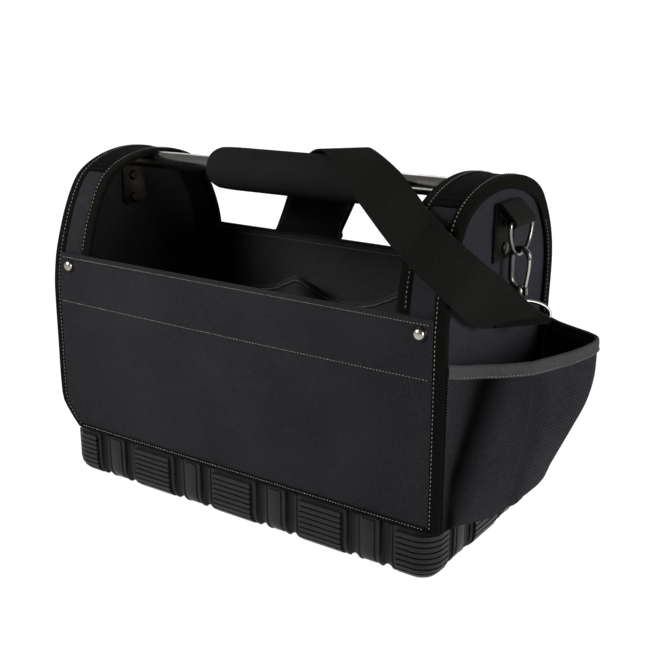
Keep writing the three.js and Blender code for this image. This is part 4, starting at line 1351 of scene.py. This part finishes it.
# %% Lathe by extruding
def turn_profile(name, profile, sides):
    bpy.ops.object.select_all(action="DESELECT")
    radius, height = profile[0]
    place = (0, 0, height * MM)
    bpy.ops.mesh.primitive_circle_add(vertices=sides, radius=radius * MM, fill_type="NGON", location=place)
    piece = bpy.context.object
    piece.name = name
    bpy.ops.object.transform_apply(location=True)
    bpy.ops.object.mode_set(mode="EDIT")
    bpy.ops.mesh.select_all(action="SELECT")
    for (r0, h0), (r1, h1) in zip(profile, profile[1:]):
        bpy.ops.mesh.extrude_region_move(TRANSFORM_OT_translate={"value": (0, 0, (h1 - h0) * MM)})
        share = r1 / r0
        bpy.ops.transform.resize(value=(share, share, 1), center_override=(0, 0, h1 * MM))
    bpy.ops.mesh.select_all(action="SELECT")
    bpy.ops.mesh.normals_make_consistent(inside=False)
    bpy.ops.object.mode_set(mode="OBJECT")
    return piece


def lay_along(piece, direction, place):
    turn = Vector(direction).to_track_quat("Z", "Y").to_matrix().to_4x4()
    piece.data.transform(Matrix.Translation(metres(place)) @ turn)
    shade(piece)
    return piece


# %% [markdown]
# ## Handle tube and grip
# The steel tube joins the two arches and rises a little to the right. The foam grip is a sleeve on it with
# rounded shoulders at both ends and a seam line sewn round each.

# %% Tube and grip
TUBE_Z = 299.2
TUBE_SLOPE = 0.011
TUBE_RADIUS = 8.5
TUBE_BORE = 7
BORE_SHOWN = 20
GRIP_LEFT = -91.5
GRIP_RIGHT = 96.5
TUBE_RAISE = 1.6
BRACKET = 2.7
bracket_inner = HALF_LENGTH - END_WALL - GAP - BRACKET
tube_half = bracket_inner - GAP
tube_line = Vector((1, 0, TUBE_SLOPE)).normalized()

tube_profile = [
    (TUBE_BORE, -tube_half + BORE_SHOWN),
    (TUBE_BORE, -tube_half),
    (TUBE_RADIUS - 0.4, -tube_half),
    (TUBE_RADIUS, -tube_half + 0.5),
    (TUBE_RADIUS, tube_half - 0.5),
    (TUBE_RADIUS - 0.4, tube_half),
    (TUBE_BORE, tube_half),
    (TUBE_BORE, tube_half - BORE_SHOWN),
]
tube = lay_along(turn_profile("steel_tube", tube_profile, 48), tube_line, (0, 0, TUBE_Z + TUBE_RAISE))
settle(tube, [bright_steel], ["handle_tube"])

GRIP_SEAM_STEP = 9.2
GRIP_SEAM_RADIUS = 18.95
GRIP_SHOULDER = [
    (9.2, 0.6),
    (12.4, 0.0),
    (14.6, 0.8),
    (16.4, 2.6),
    (17.9, 5.4),
    (18.9, 8.4),
    (18.75, 9.2),
    (19.2, 10.0),
    (19.7, 16.0),
    (20.0, 26.0),
    (20.0, 60.0),
]
left_shoulder = [(radius, step + GRIP_LEFT) for radius, step in GRIP_SHOULDER]
right_shoulder = [(radius, GRIP_RIGHT - step) for radius, step in reversed(GRIP_SHOULDER)]
grip = lay_along(turn_profile("foam_grip", left_shoulder + right_shoulder, 64), tube_line, (0, 0, TUBE_Z))
settle(grip, [foam], ["grip"])


def grip_ring(place):
    middle = Vector((0, 0, TUBE_Z)) + tube_line * place
    line = []
    for degrees in steps(0, 360, 90):
        angle = math.radians(degrees)
        out = Vector((0, math.cos(angle), math.sin(angle)))
        line.append((middle + out * GRIP_SEAM_RADIUS, out))
    return line


grip_rings = [grip_ring(GRIP_RIGHT - GRIP_SEAM_STEP), grip_ring(GRIP_LEFT + GRIP_SEAM_STEP)]
seam("grip_stitches", grip_rings, FINE_PITCH, dark_thread)

# %% [markdown]
# ## Rivets
# A domed rivet holds each top corner of the flat pockets. One is turned and copied to the other corners.

# %% Pocket rivets
RIVET_X = 189
RIVET_Z = 208
RIVET_OUT = 0.9
RIVET_PROFILE = [
    (4.2, -5.2),
    (4.4, -3.2),
    (2.0, -3.0),
    (2.0, 1.4),
    (6.4, 1.5),
    (6.6, 2.0),
    (6.2, 2.7),
    (5.2, 3.0),
    (4.9, 2.4),
    (4.8, 3.2),
    (4.3, 4.2),
    (3.3, 5.0),
    (1.9, 5.6),
    (0.6, 5.8),
]
RIVET_DOME = 4.85
RIVET_FLANGE = 2.2


def copy_of(piece, name):
    twin = piece.copy()
    twin.data = piece.data.copy()
    twin.name = name
    bpy.context.scene.collection.objects.link(twin)
    return twin


rivet_model = turn_profile("rivet_model", RIVET_PROFILE, 28)
# The flange and all below it take the dark plating: painted shade in a ring round the dome.
for polygon in rivet_model.data.polygons:
    beside = polygon.center.xy.length > RIVET_DOME * MM
    below = polygon.center.z < RIVET_FLANGE * MM
    polygon.material_index = int(beside or below)
for face, end in FACES:
    for side, name in SIDES:
        cap = copy_of(rivet_model, f"{end}_{name}_rivet_cap")
        corner = (end_x(side, RIVET_X, RIVET_Z), face * (HALF_DEPTH + RIVET_OUT), RIVET_Z)
        lay_along(cap, (0, face, 0), corner)
        settle(cap, [dull_steel, dark_steel], [f"{end}_{name}_rivet"])
bpy.data.objects.remove(rivet_model)

# %% [markdown]
# ## Brackets and bolts
# A plate inside each end carries the tube on a short plug, and two bolts go through plate, wall and tab.
# The plate is a slab with rounded corners and a fine bevel.

# %% Brackets
PLATE_HALF_WIDTH = 15
PLATE_LOW = 252.5
PLATE_OVER = 9.5
PLATE_CORNER = 6
PLUG_BACK = 13
PLUG_PROFILE = [(6.1, 0), (6.7, 0.6), (6.7, 12), (6.7, 12.6)]


def bevel_edges(piece, chosen, offset, segments):
    """Bevels the edges of a piece that a test on their two ends picks."""
    only(piece)
    bpy.ops.object.mode_set(mode="EDIT")
    bpy.ops.mesh.select_mode(type="EDGE")
    bpy.ops.mesh.select_all(action="DESELECT")
    bpy.ops.object.mode_set(mode="OBJECT")
    for edge in piece.data.edges:
        first, second = (piece.data.vertices[index].co for index in edge.vertices)
        edge.select = chosen(first, second)
    bpy.ops.object.mode_set(mode="EDIT")
    bpy.ops.mesh.bevel(offset=offset * MM, segments=segments, affect="EDGES", profile=0.5)
    bpy.ops.object.mode_set(mode="OBJECT")


def block(name, low, high):
    """A box between two corners in millimetres over the floor, with its place in its mesh."""
    bpy.ops.object.select_all(action="DESELECT")
    size = [(top - bottom) * MM for bottom, top in zip(low, high)]
    middle = [(top + bottom) / 2 * MM for bottom, top in zip(low, high)]
    bpy.ops.mesh.primitive_cube_add(size=1, location=middle, scale=size)
    piece = bpy.context.object
    piece.name = name
    bpy.ops.object.transform_apply(location=True, rotation=True, scale=True)
    return piece


def soften(piece, width, segments=2):
    bevel = piece.modifiers.new("soft edges", "BEVEL")
    bevel.width = width * MM
    bevel.segments = segments
    bevel.limit_method = "ANGLE"
    bevel.angle_limit = math.radians(40)
    apply_modifiers(piece)
    shade(piece)


def runs_along(first, second, axis):
    gap = second - first
    return abs(gap[axis]) > 0.98 * gap.length


for side, name in SIDES:
    plug_z = TUBE_Z + TUBE_RAISE + side * TUBE_SLOPE * bracket_inner
    inner, outer = sorted((side * bracket_inner, side * (bracket_inner + BRACKET)))
    low = (inner, -PLATE_HALF_WIDTH, PLATE_LOW + RISE)
    high = (outer, PLATE_HALF_WIDTH, plug_z + PLATE_OVER - TUBE_RAISE + RISE)
    plate = block(f"{name}_bracket_plate", low, high)
    bevel_edges(plate, lambda a, b: runs_along(a, b, 0), PLATE_CORNER, 6)
    soften(plate, 0.5)
    plug_place = (side * (bracket_inner - PLUG_BACK), 0, plug_z)
    plug = lay_along(turn_profile("plug", PLUG_PROFILE, 32), (side, 0, 0), plug_place)
    join_into(plate, [plug])
    settle(plate, [dark_steel], [f"{name}_bracket"])

# %% [markdown]
# A bolt has a low round head on both sides of the wall. One is turned and copied to its four places.

# %% Bracket bolts
TAB_Y = -1
BOLT_Z = [281, 258.7]
BOLT_PROFILE = [
    (1.6, -9.6),
    (1.9, -10.0),
    (3.2, -10.1),
    (4.4, -9.6),
    (5.0, -8.6),
    (5.0, -8.2),
    (2.2, -8.1),
    (2.2, 3.0),
    (5.0, 3.1),
    (5.0, 3.6),
    (4.2, 4.5),
    (2.4, 5.0),
    (0.8, 5.1),
]
bolt_model = turn_profile("bolt_model", BOLT_PROFILE, 24)
for side, name in SIDES:
    for z, level in zip(BOLT_Z, ("upper", "lower")):
        bolt = copy_of(bolt_model, f"{name}_{level}_bolt_head")
        lay_along(bolt, (side, 0, 0), (side * HALF_LENGTH, TAB_Y, z))
        settle(bolt, [dark_steel], [f"{name}_{level}_bolt"])
bpy.data.objects.remove(bolt_model)

# %% [markdown]
# ## Ring tabs
# A folded strip of webbing is bolted to each end and holds a ring. It goes up the wall, out over the
# ring's bar and back round it. The side view is a smooth line of points, and the strip is that line run
# across.

# %% Ring tabs
TAB_HALF_WIDTH = 18
TAB_CLOTH = 2
TAB_PATH = [
    (1.4, 249),
    (1.4, 268),
    (1.4, 287),
    (1.9, 293),
    (4.2, 296.3),
    (8, 295.2),
    (13, 290.4),
    (17.4, 286),
    (19.5, 283.2),
    (18.9, 280.4),
    (16.2, 279.5),
    (13.3, 280.9),
    (10, 284.3),
    (6.5, 288),
    (3.8, 290.6),
]
TAB_FINE = 6
TAB_SEAM_OUT = 2.4
TAB_SEAMS = [
    ((-15.5, 251), (15.5, 251)),
    ((-16, 252), (-16, 286)),
    ((16, 252), (16, 286)),
]


def tab_surface(side):
    def surface(y, u):
        out, z = on_fold(TAB_PATH, u)
        return side * (HALF_LENGTH + out), TAB_Y + y, z

    return surface


def tab_seams(side):
    x = side * (HALF_LENGTH + TAB_SEAM_OUT + THREAD_LIFT)
    return [[((x, TAB_Y + y, z), (side, 0, 0)) for y, z in ends] for ends in TAB_SEAMS]


tab_rows = along_fold(TAB_PATH, TAB_FINE)
for side, name in SIDES:
    label = f"{name}_ring_tab_webbing"
    across = steps(-TAB_HALF_WIDTH, TAB_HALF_WIDTH, 8)
    tab, size = cloth_piece(label, tab_surface(side), across, tab_rows, TAB_CLOTH, CENTRED)
    settle(tab, [tab_webbing, tab_webbing], [f"{name}_ring_tab"])
    seam(f"{name}_tab_stitches", tab_seams(side), FINE_PITCH, dark_thread)

# %% [markdown]
# ## Rings and hooks
# The rings, the snap hook and the strap's loops are bent wire. A path with a round bevel is the natural
# tool: its points are the wire's middle line, and it is converted to a mesh when the bends are right.

# %% Bent wire
WIRE_ANGLE = math.radians(60)
D_CORNER = 2
D_SIDE = 4
D_STEPS = 12


def bend_wire(name, points, radius, closed, thick=None, smooth=4):
    line = []
    count = len(points)
    last = count if closed else count - 1
    for k in range(last):
        round_about = [points[i % count] for i in range(k - 1, k + 3)]
        near = round_about if closed else near_rows(points, k)
        line += [curve_point(near, step / smooth) for step in range(smooth)]
    if not closed:
        line.append(Vector(points[-1]))
    bpy.ops.object.select_all(action="DESELECT")
    bpy.ops.curve.primitive_nurbs_path_add(location=(0, 0, 0))
    piece = bpy.context.object
    piece.name = name
    path = piece.data
    path.dimensions = "3D"
    path.splines.clear()
    spline = path.splines.new("POLY")
    spline.points.add(len(line) - 1)
    for index, (point, place) in enumerate(zip(spline.points, line)):
        point.co = (*metres(place), 1)
        point.radius = 1 if thick is None else thick(index / (len(line) - 1))
    spline.use_cyclic_u = closed
    path.bevel_depth = radius * MM
    path.bevel_resolution = 4
    path.use_fill_caps = True
    bpy.ops.object.convert(target="MESH")
    shade(piece, WIRE_ANGLE)
    return piece


def d_shape(middle, along, bow, half_bar, depth):
    end = half_bar - D_CORNER
    flat = [(-end, 0), (-half_bar / 2, 0), (half_bar / 2, 0), (end, 0)]
    for k in range(D_STEPS + 1):
        angle = math.pi * k / D_STEPS
        flat.append((half_bar * math.cos(angle), D_SIDE + (depth - D_SIDE) * math.sin(angle)))
    return [Vector(middle) + Vector(along) * a + Vector(bow) * b for a, b in flat]


# %% [markdown]
# The pad's two long edges are piped: a cord is sewn into each, and it is such a bent line too.

# %% Pad piping
PIPING = 1.9
PIPING_FROM = PAD_FROM + 0.1
PIPING_TO = PAD_TO - 0.75
PIPING_EDGES = (0.015, 0.985)


def piping_line(u):
    sunk = Vector((0, 0, PIPING / 2))
    return [pad_surface(u, along) - sunk for along in steps(PIPING_FROM, PIPING_TO, 30)]


pipings = [bend_wire("pad_piping", piping_line(u), PIPING, False, smooth=1) for u in PIPING_EDGES]
settle(join_into(pipings[0], pipings[1:]), [pad_cloth])

# %% [markdown]
# Each tab holds a ring in the shape of a D, with its straight bar in the fold of the webbing.

# %% Rings in the tabs
RING_WIRE = 1.6
RING_X = 223.3
RING_Z = 282.8
RING_DROP = 27
RING_HALF = 20.5

for side, name in SIDES:
    shape = d_shape((side * RING_X, TAB_Y, RING_Z), (0, 1, 0), (0, 0, -1), RING_HALF, RING_DROP)
    ring = bend_wire(f"{name}_d_ring_wire", shape, RING_WIRE, True)
    settle(ring, [ring_steel], [f"{name}_d_ring"])

# %% [markdown]
# The snap hook hangs in the right ring. Its bar is thickest at the spine, its boss sits on the loop's
# post, and its sprung gate closes the claw. The gate is a piece of its own, because it moves on its hinge.

# %% Snap hook
HOOK_X = 224
CLAW_RADIUS = 7.5
HOOK_WIRE = 2.2
BOSS_LOW = 220
GATE_X = 229.2
GATE_Z = 231
GATE_WIRE = 1.6
ARM_BOTTOM = 222
ARM_TOP = GATE_Z - 2.3
ARM_HALF = 2
ARM_FROM = 1
ARM_TO = 7.2
HOOK_SPINE = [(-CLAW_RADIUS, 237), (-5.6, 231), (-1.4, 226.5), (0, 221)]
claw_z = RING_Z - RING_DROP + RING_WIRE + GAP + HOOK_WIRE - CLAW_RADIUS
BOSS_PROFILE = [
    (3.0, 0),
    (3.6, 0.3),
    (4.6, 2.0),
    (4.8, 4.0),
    (4.6, 6.0),
    (3.6, 8.4),
    (2.8, 9.5),
]


def hook_line(side):
    line = []
    for degrees in steps(0, 180, 8):
        angle = math.radians(degrees)
        line.append((CLAW_RADIUS * math.cos(angle), claw_z + CLAW_RADIUS * math.sin(angle)))
    return [Vector((side * (HOOK_X + x), TAB_Y, z)) for x, z in line + HOOK_SPINE]


def hook_bar(name, side):
    return bend_wire(name, hook_line(side), HOOK_WIRE, False, lambda t: 0.92 + 0.2 * math.sin(t * math.pi))


def hook_boss(name, side):
    return lay_along(turn_profile(name, BOSS_PROFILE, 24), (0, 0, 1), (side * HOOK_X, TAB_Y, BOSS_LOW))


hook = hook_bar("snap_hook", 1)
arm_low = (HOOK_X + ARM_FROM, TAB_Y - ARM_HALF, ARM_BOTTOM + RISE)
arm_high = (HOOK_X + ARM_TO, TAB_Y + ARM_HALF, ARM_TOP + RISE)
arm = block("arm", arm_low, arm_high)
soften(arm, 0.9, 3)
join_into(hook, [hook_boss("boss", 1), arm])
# The body takes the darker plating as painted shade, and the gate keeps the satin plating.
settle(hook, [shaded_hook_steel], ["right_hook_body"])

gate_tip = (HOOK_X + CLAW_RADIUS, TAB_Y, claw_z - 0.7)
gate_bend = (HOOK_X + CLAW_RADIUS - 0.3, TAB_Y, claw_z - 9)
gate_root = (GATE_X, TAB_Y, GATE_Z - GATE_WIRE)
gate = bend_wire("snap_hook_gate", [gate_root, gate_bend, gate_tip], GATE_WIRE, False)
settle(gate, [dull_steel], ["right_hook_gate"], "hook_gate")

# %% [markdown]
# The strap's ends are sewn round wide wire loops, and each loop hangs on a post under its hook's boss.
# The left hook is behind the bag's end and can't be seen from the front, so it is one plain piece.

# %% Strap loops and the left hook
LOOP_DEPTH = 16
LOOP_HALF = 26.5
LOOP_TOP = 216.6
LATCH_LOW = 224
right_loop_along = Vector((0.64, 0.77, 0)).normalized()
right_loop_up = Vector((-0.286, 0.238, 0.928)).normalized()
left_loop_up = Vector((0.29, 0, 0.957)).normalized()


def strap_loop(name, top, along, up):
    top = Vector(top)
    shape = d_shape(top - up * LOOP_DEPTH, along, up, LOOP_HALF, LOOP_DEPTH)
    loop = bend_wire(name, shape, RING_WIRE, True)
    rise = BOSS_LOW - GAP - top.z
    post_profile = [(2.6, 0), (2.4, 0.6), (2.4, rise - 0.6), (2.9, rise)]
    post = lay_along(turn_profile("post", post_profile, 20), (0, 0, 1), top)
    return join_into(loop, [post])


right_loop = strap_loop("strap_loop", (HOOK_X, TAB_Y, LOOP_TOP), right_loop_along, right_loop_up)
settle(right_loop, [ring_steel], ["right_strap_ring"])

left_hook = hook_bar("left_snap_hook", -1)
latch_top = (-HOOK_X - CLAW_RADIUS, TAB_Y, claw_z + 1)
latch = bend_wire("latch", [latch_top, (-HOOK_X - 2, TAB_Y, LATCH_LOW)], GATE_WIRE, False)
left_loop = strap_loop("left_loop", (-HOOK_X, TAB_Y + 1, LOOP_TOP), Vector((0, 1, 0)), left_loop_up)
join_into(left_hook, [hook_boss("boss", -1), latch, left_loop])
settle(left_hook, [shaded_hook_steel], ["left_hook"])

# %% [markdown]
# ## The moulded base
# The base is one rubber moulding. A hollow tray carries the load, and a skirt with a strongly rounded foot
# goes round it. Ribbed blocks and flat bars stand on the skirt, with round channels between them that are
# open under the foot. A rounded box is a cube whose upright edges and foot are bevelled.

# %% Tray
BASE_HALF_LENGTH = 198.4
BASE_HALF_DEPTH = 92.5
BASE_RADIUS = 12.5
BASE_TOP = 48.5
TRAY_INSET = 2.5
TRAY_LOW = 3.2
TRAY_FOOT = 9
TRAY_WALL = 2


def rounded_box(name, half_x, half_y, low, high, corner, foot):
    piece = block(name, (-half_x, -half_y, low), (half_x, half_y, high))
    bevel_edges(piece, lambda a, b: runs_along(a, b, 2), corner, 8)
    bottom = low * MM + 1e-6
    bevel_edges(piece, lambda a, b: max(a.z, b.z) < bottom, foot, 5)
    return piece


def push_top_in(piece, wall, depth):
    """Insets the top face and pushes it down, which leaves a wall round a well."""
    top = max(vertex.co.z for vertex in piece.data.vertices)
    pick_faces(piece, lambda face: face.normal.z > 0.9 and face.center.z > top - 1e-5)
    bpy.ops.mesh.inset(thickness=wall * MM, depth=0)
    bpy.ops.mesh.extrude_region_move(TRANSFORM_OT_translate={"value": (0, 0, -depth * MM)})
    bpy.ops.object.mode_set(mode="OBJECT")


def base_box(name, reach, low, high, foot):
    """A rounded box that stands out from the tray's face all round."""
    half_x = BASE_HALF_LENGTH + reach
    half_y = BASE_HALF_DEPTH + reach
    return rounded_box(name, half_x, half_y, low, high, BASE_RADIUS + reach, foot)


base = base_box("moulded_base", -TRAY_INSET, TRAY_LOW, BASE_TOP, TRAY_FOOT)
push_top_in(base, TRAY_WALL, BASE_TOP - TRAY_LOW - TRAY_WALL)
print("tray has", len(base.data.polygons), "faces")

# %% [markdown]
# The channels are cut into the skirt with upright posts, and slots open them under the foot. One post and
# one slot are modelled at the front and copied round the tray with a turn, and each set is cut in one step.

# %% Skirt with channels
SKIRT_REACH = 4.4
SKIRT_FOOT = 16
CORE_INSET = 3
CORE_LOW = 3.5
CORE_TOP = 60
CORE_FOOT = 8
LONG_BARS = [-146, -50, 47.5, 144]
SHORT_BARS = [-46, 46]
LONG_STEP = 16.4
SHORT_STEP = 15.6
CHANNEL_HALF = 5.4
CHANNEL_DEPTH = 5.2
CHANNEL_ROWS = [
    ("front", LONG_BARS, LONG_STEP),
    ("back", LONG_BARS, LONG_STEP),
    ("left", SHORT_BARS, SHORT_STEP),
    ("right", SHORT_BARS, SHORT_STEP),
]
SLOT_TOP = 6
SLOT_FRONT = -20
SLOT_BACK = 25
CUT_FROM = -5
CUT_TO = 70


def boolean(piece, tool, operation):
    cut = piece.modifiers.new("cut", "BOOLEAN")
    cut.operation = operation
    cut.solver = "EXACT"
    cut.object = tool
    apply_modifiers(piece)
    bpy.data.objects.remove(tool)


def take_core_out(piece):
    boolean(piece, base_box("core", -CORE_INSET, CORE_LOW, CORE_TOP, CORE_FOOT), "DIFFERENCE")


def skirt_box(name, reach, low, high):
    """A skirt round the tray, open inside."""
    piece = base_box(name, reach, low, high, SKIRT_FOOT)
    take_core_out(piece)
    return piece


def stand_on_side(model, facing, along):
    face = BASE_HALF_DEPTH if facing in ("front", "back") else BASE_HALF_LENGTH
    turn = {"front": 0, "right": 90, "back": 180, "left": 270}[facing]
    flip = -1 if facing in ("back", "left") else 1
    piece = copy_of(model, "base_detail")
    slide = Matrix.Translation((flip * along * MM, -face * MM, 0))
    piece.data.transform(Matrix.Rotation(math.radians(turn), 4, "Z") @ slide)
    return piece


def channel_places():
    places = []
    for facing, bars, step in CHANNEL_ROWS:
        places += [(facing, bar + sign * step) for bar in bars for sign in (-1, 1)]
    return places


def copies_round(model, offset=0):
    """Copies of a front model at every channel, joined; the model itself goes."""
    copies = [stand_on_side(model, facing, along + offset) for facing, along in channel_places()]
    bpy.data.objects.remove(model)
    return join_into(copies[0], copies[1:])


def channel_post():
    post = turn_profile("post", [(CHANNEL_HALF, CUT_FROM), (CHANNEL_HALF, CUT_TO)], 32)
    post.data.transform(Matrix.Diagonal((1, CHANNEL_DEPTH / CHANNEL_HALF, 1, 1)))
    post.data.transform(Matrix.Translation((0, -SKIRT_REACH * MM, 0)))
    return post


skirt = skirt_box("skirt", SKIRT_REACH, 0, BASE_TOP)
boolean(skirt, copies_round(channel_post()), "DIFFERENCE")
slot = block("slot", (-CHANNEL_HALF, SLOT_FRONT, CUT_FROM), (CHANNEL_HALF, SLOT_BACK, SLOT_TOP))
boolean(skirt, copies_round(slot), "DIFFERENCE")
print("channels round the skirt:", len(channel_places()))

# %% [markdown]
# The ribbed blocks lie on a larger skirt, and the bars on one a little smaller. For the ribs the larger one
# is cut level into thin bands, which are pushed in as grooves. Then only the places of the blocks and of
# the bars are kept, by intersections with boxes.

# %% Ribbed blocks and bars
BLOCK_REACH = 7.4
BAR_REACH = 5.6
RIB_FOOT = 6
RIB_PITCH = 5
RIB_COUNT = 8
GROOVE_HALF = 0.75
GROOVE_DEPTH = 2.7
BLOCK_LOW = 0.2
BLOCK_TOP = 43
BAR_TOP = 44.6
LONG_BLOCKS = [-98, -1, 96]
BLOCK_HALF = 21.5
BAR_HALF = 6.4
CORNER_X = 171.6
CORNER_Y = 70.6
FAR = 260


def cut_level(z):
    bpy.ops.mesh.select_all(action="SELECT")
    bpy.ops.mesh.bisect(plane_co=(0, 0, z * MM), plane_no=(0, 0, 1))


def groove_heights():
    return [RIB_FOOT + RIB_PITCH * (k + 0.5) for k in range(RIB_COUNT - 1)]


def in_groove(face):
    z = face.center.z / MM
    return abs(face.normal.z) < 0.95 and any(abs(z - groove) < GROOVE_HALF for groove in groove_heights())


def press_grooves(piece):
    only(piece)
    bpy.ops.object.mode_set(mode="EDIT")
    bpy.ops.mesh.select_mode(type="FACE")
    for z in groove_heights():
        cut_level(z - GROOVE_HALF)
        cut_level(z + GROOVE_HALF)
    bpy.ops.object.mode_set(mode="OBJECT")
    pick_faces(piece, in_groove)
    bpy.ops.mesh.extrude_region_shrink_fatten(TRANSFORM_OT_shrink_fatten={"value": -GROOVE_DEPTH * MM})
    bpy.ops.object.mode_set(mode="OBJECT")


def block_places():
    places = [(middle - BLOCK_HALF, middle + BLOCK_HALF, -FAR, FAR) for middle in LONG_BLOCKS]
    places.append((-FAR, FAR, -BLOCK_HALF, BLOCK_HALF))
    for sx in (-1, 1):
        for sy in (-1, 1):
            places.append((*sorted((sx * CORNER_X, sx * FAR)), *sorted((sy * CORNER_Y, sy * FAR))))
    return places


def bar_places():
    places = [(middle - BAR_HALF, middle + BAR_HALF, -FAR, FAR) for middle in LONG_BARS]
    return places + [(-FAR, FAR, middle - BAR_HALF, middle + BAR_HALF) for middle in SHORT_BARS]


def keep_places(whole, places):
    kept = []
    for x0, x1, y0, y1 in places:
        part = copy_of(whole, "base_part")
        boolean(part, block("mask", (x0, y0, CUT_FROM), (x1, y1, CUT_TO)), "INTERSECT")
        kept.append(part)
    bpy.data.objects.remove(whole)
    return kept


ribbed = base_box("ribbed", BLOCK_REACH, BLOCK_LOW, BLOCK_TOP, SKIRT_FOOT)
press_grooves(ribbed)
take_core_out(ribbed)
blocks = keep_places(ribbed, block_places())
bars = keep_places(skirt_box("bars", BAR_REACH, BLOCK_LOW, BAR_TOP), bar_places())
for bar in bars:
    soften(bar, 0.5)
print("blocks and bars made from", len(blocks) + len(bars), "cuts")

# %% [markdown]
# A thin round bead runs down each side of every channel and curves in with the foot. It is a bent wire.

# %% Beads
BEAD_RADIUS = 1.5
BEAD_SUNK = 0.5
BEAD_STEP = 6.4
BEAD_TOP = 46.6
BEAD_SWEEP = 64


def bead_model():
    out = SKIRT_REACH - BEAD_SUNK
    line = [(0, -out, z - RISE) for z in steps(BEAD_TOP, SKIRT_FOOT + 2, 3)]
    for degrees in steps(0, BEAD_SWEEP, 8):
        angle = math.radians(degrees)
        y = SKIRT_FOOT - out - SKIRT_FOOT * math.cos(angle)
        line.append((0, y, SKIRT_FOOT - SKIRT_FOOT * math.sin(angle) - RISE))
    return bend_wire("bead", line, BEAD_RADIUS, False, smooth=1)


beads = [copies_round(bead_model(), offset) for offset in (-BEAD_STEP, BEAD_STEP)]

# %% [markdown]
# A rim stands up from the tray inside the cloth, which is sewn against it. It is a second, larger rounded
# box with its middle taken out. All parts of the moulding are joined into one piece.

# %% Rim, and the whole base
RIM_TOP = 59.5
RIM_WALL = 2.5
RIM_RADIUS = 12
RIM_SUNK = 3
HOLE_SPARE = 5
rim_right = HALF_LENGTH - END_WALL - GAP
rim_left = -end_x(-1, HALF_LENGTH - END_WALL, CLOTH_BOTTOM) - GAP
rim_half = (rim_right + rim_left) / 2
rim_middle = (rim_right - rim_left) / 2
rim_depth = HALF_DEPTH - CLOTH - GAP


def rim_box(name, inset, low, high):
    half_x, half_y = rim_half - inset, rim_depth - inset
    piece = block(name, (-half_x, -half_y, low), (half_x, half_y, high))
    bevel_edges(piece, lambda a, b: runs_along(a, b, 2), RIM_RADIUS - inset, 8)
    piece.data.transform(Matrix.Translation((rim_middle * MM, 0, 0)))
    return piece


rim_low = BASE_TOP - RIM_SUNK
rim = rim_box("rim", 0, rim_low, RIM_TOP)
rim_hole = rim_box("rim_hole", RIM_WALL, rim_low - HOLE_SPARE, RIM_TOP + HOLE_SPARE)
boolean(rim, rim_hole, "DIFFERENCE")
join_into(base, [skirt, *blocks, *bars, *beads, rim])
shade(base)
settle(base, [rubber], ["base_tray"])

# %% [markdown]
# ## Studio
# The bag stands on a plain white floor that glows, with a glowing backdrop far behind it. A weak even world
# fills the shadows. A narrow lamp at the left front shades the cloth, and wide ones light the right end and
# the top.

# %% Floor and light
FLOOR_SIZE = 400
FLOOR_GLOW = 0.97
WORLD_STRENGTH = 0.12
BACKDROP_AWAY = 150


def studio_floor():
    material, shader, place = new_finish("studio_floor", "Object", Emission_Strength=FLOOR_GLOW)
    shader.inputs["Emission Color"].default_value = grey(1, 1, 1)
    soft = clouds(place, 2.0, 1)
    feed(shader, Base_Color=mix(soft, grey(0.05, 0.05, 0.05), grey(0.06, 0.06, 0.06)))
    bpy.ops.object.select_all(action="DESELECT")
    bpy.ops.mesh.primitive_plane_add(size=FLOOR_SIZE)
    floor = bpy.context.object
    floor.name = "studio_floor"
    upright = (math.radians(90), 0, 0)
    bpy.ops.mesh.primitive_plane_add(size=FLOOR_SIZE, location=(0, BACKDROP_AWAY, 0), rotation=upright)
    join_into(floor, [bpy.context.object])
    floor.data.materials.append(material)


def studio_world():
    """A weak even light, which the camera alone sees as white."""
    world = bpy.data.worlds.new("studio")
    world.use_nodes = True
    nodes = world.node_tree.nodes
    links = world.node_tree.links
    seen = nodes.new("ShaderNodeLightPath").outputs["Is Camera Ray"]
    chosen = nodes.new("ShaderNodeMixShader")
    links.new(seen, chosen.inputs[0])
    even = nodes["Background"]
    white = nodes.new("ShaderNodeBackground")
    for place, light, strength in [(1, even, WORLD_STRENGTH), (2, white, 1)]:
        light.inputs["Color"].default_value = grey(1, 1, 1)
        light.inputs["Strength"].default_value = strength
        links.new(light.outputs["Background"], chosen.inputs[place])
    links.new(chosen.outputs["Shader"], nodes["World Output"].inputs["Surface"])
    bpy.context.scene.world = world


def lamp(name, place, aim, size, power, spread=180):
    data = bpy.data.lights.new(name, "AREA")
    data.spread = math.radians(spread)
    data.shape = "RECTANGLE"
    data.size, data.size_y = size
    data.energy = power
    light = bpy.data.objects.new(name, data)
    bpy.context.scene.collection.objects.link(light)
    light.location = place
    light.rotation_mode = "QUATERNION"
    light.rotation_quaternion = (Vector(aim) - Vector(place)).to_track_quat("-Z", "Y")


studio_floor()
lamp("left_light", (-0.46, -0.76, 0.77), (-0.11, -0.1, 0.24), (0.45, 0.45), 2.6, 62)
lamp("right_light", (1.9, -0.25, 0.65), (0.1, 0, 0.2), (0.8, 0.8), 36)
lamp("top_light", (0.1, 0.9, 1.6), (0, 0, 0.2), (1.6, 0.5), 3)
studio_world()
bpy.context.scene.view_settings.view_transform = "Standard"
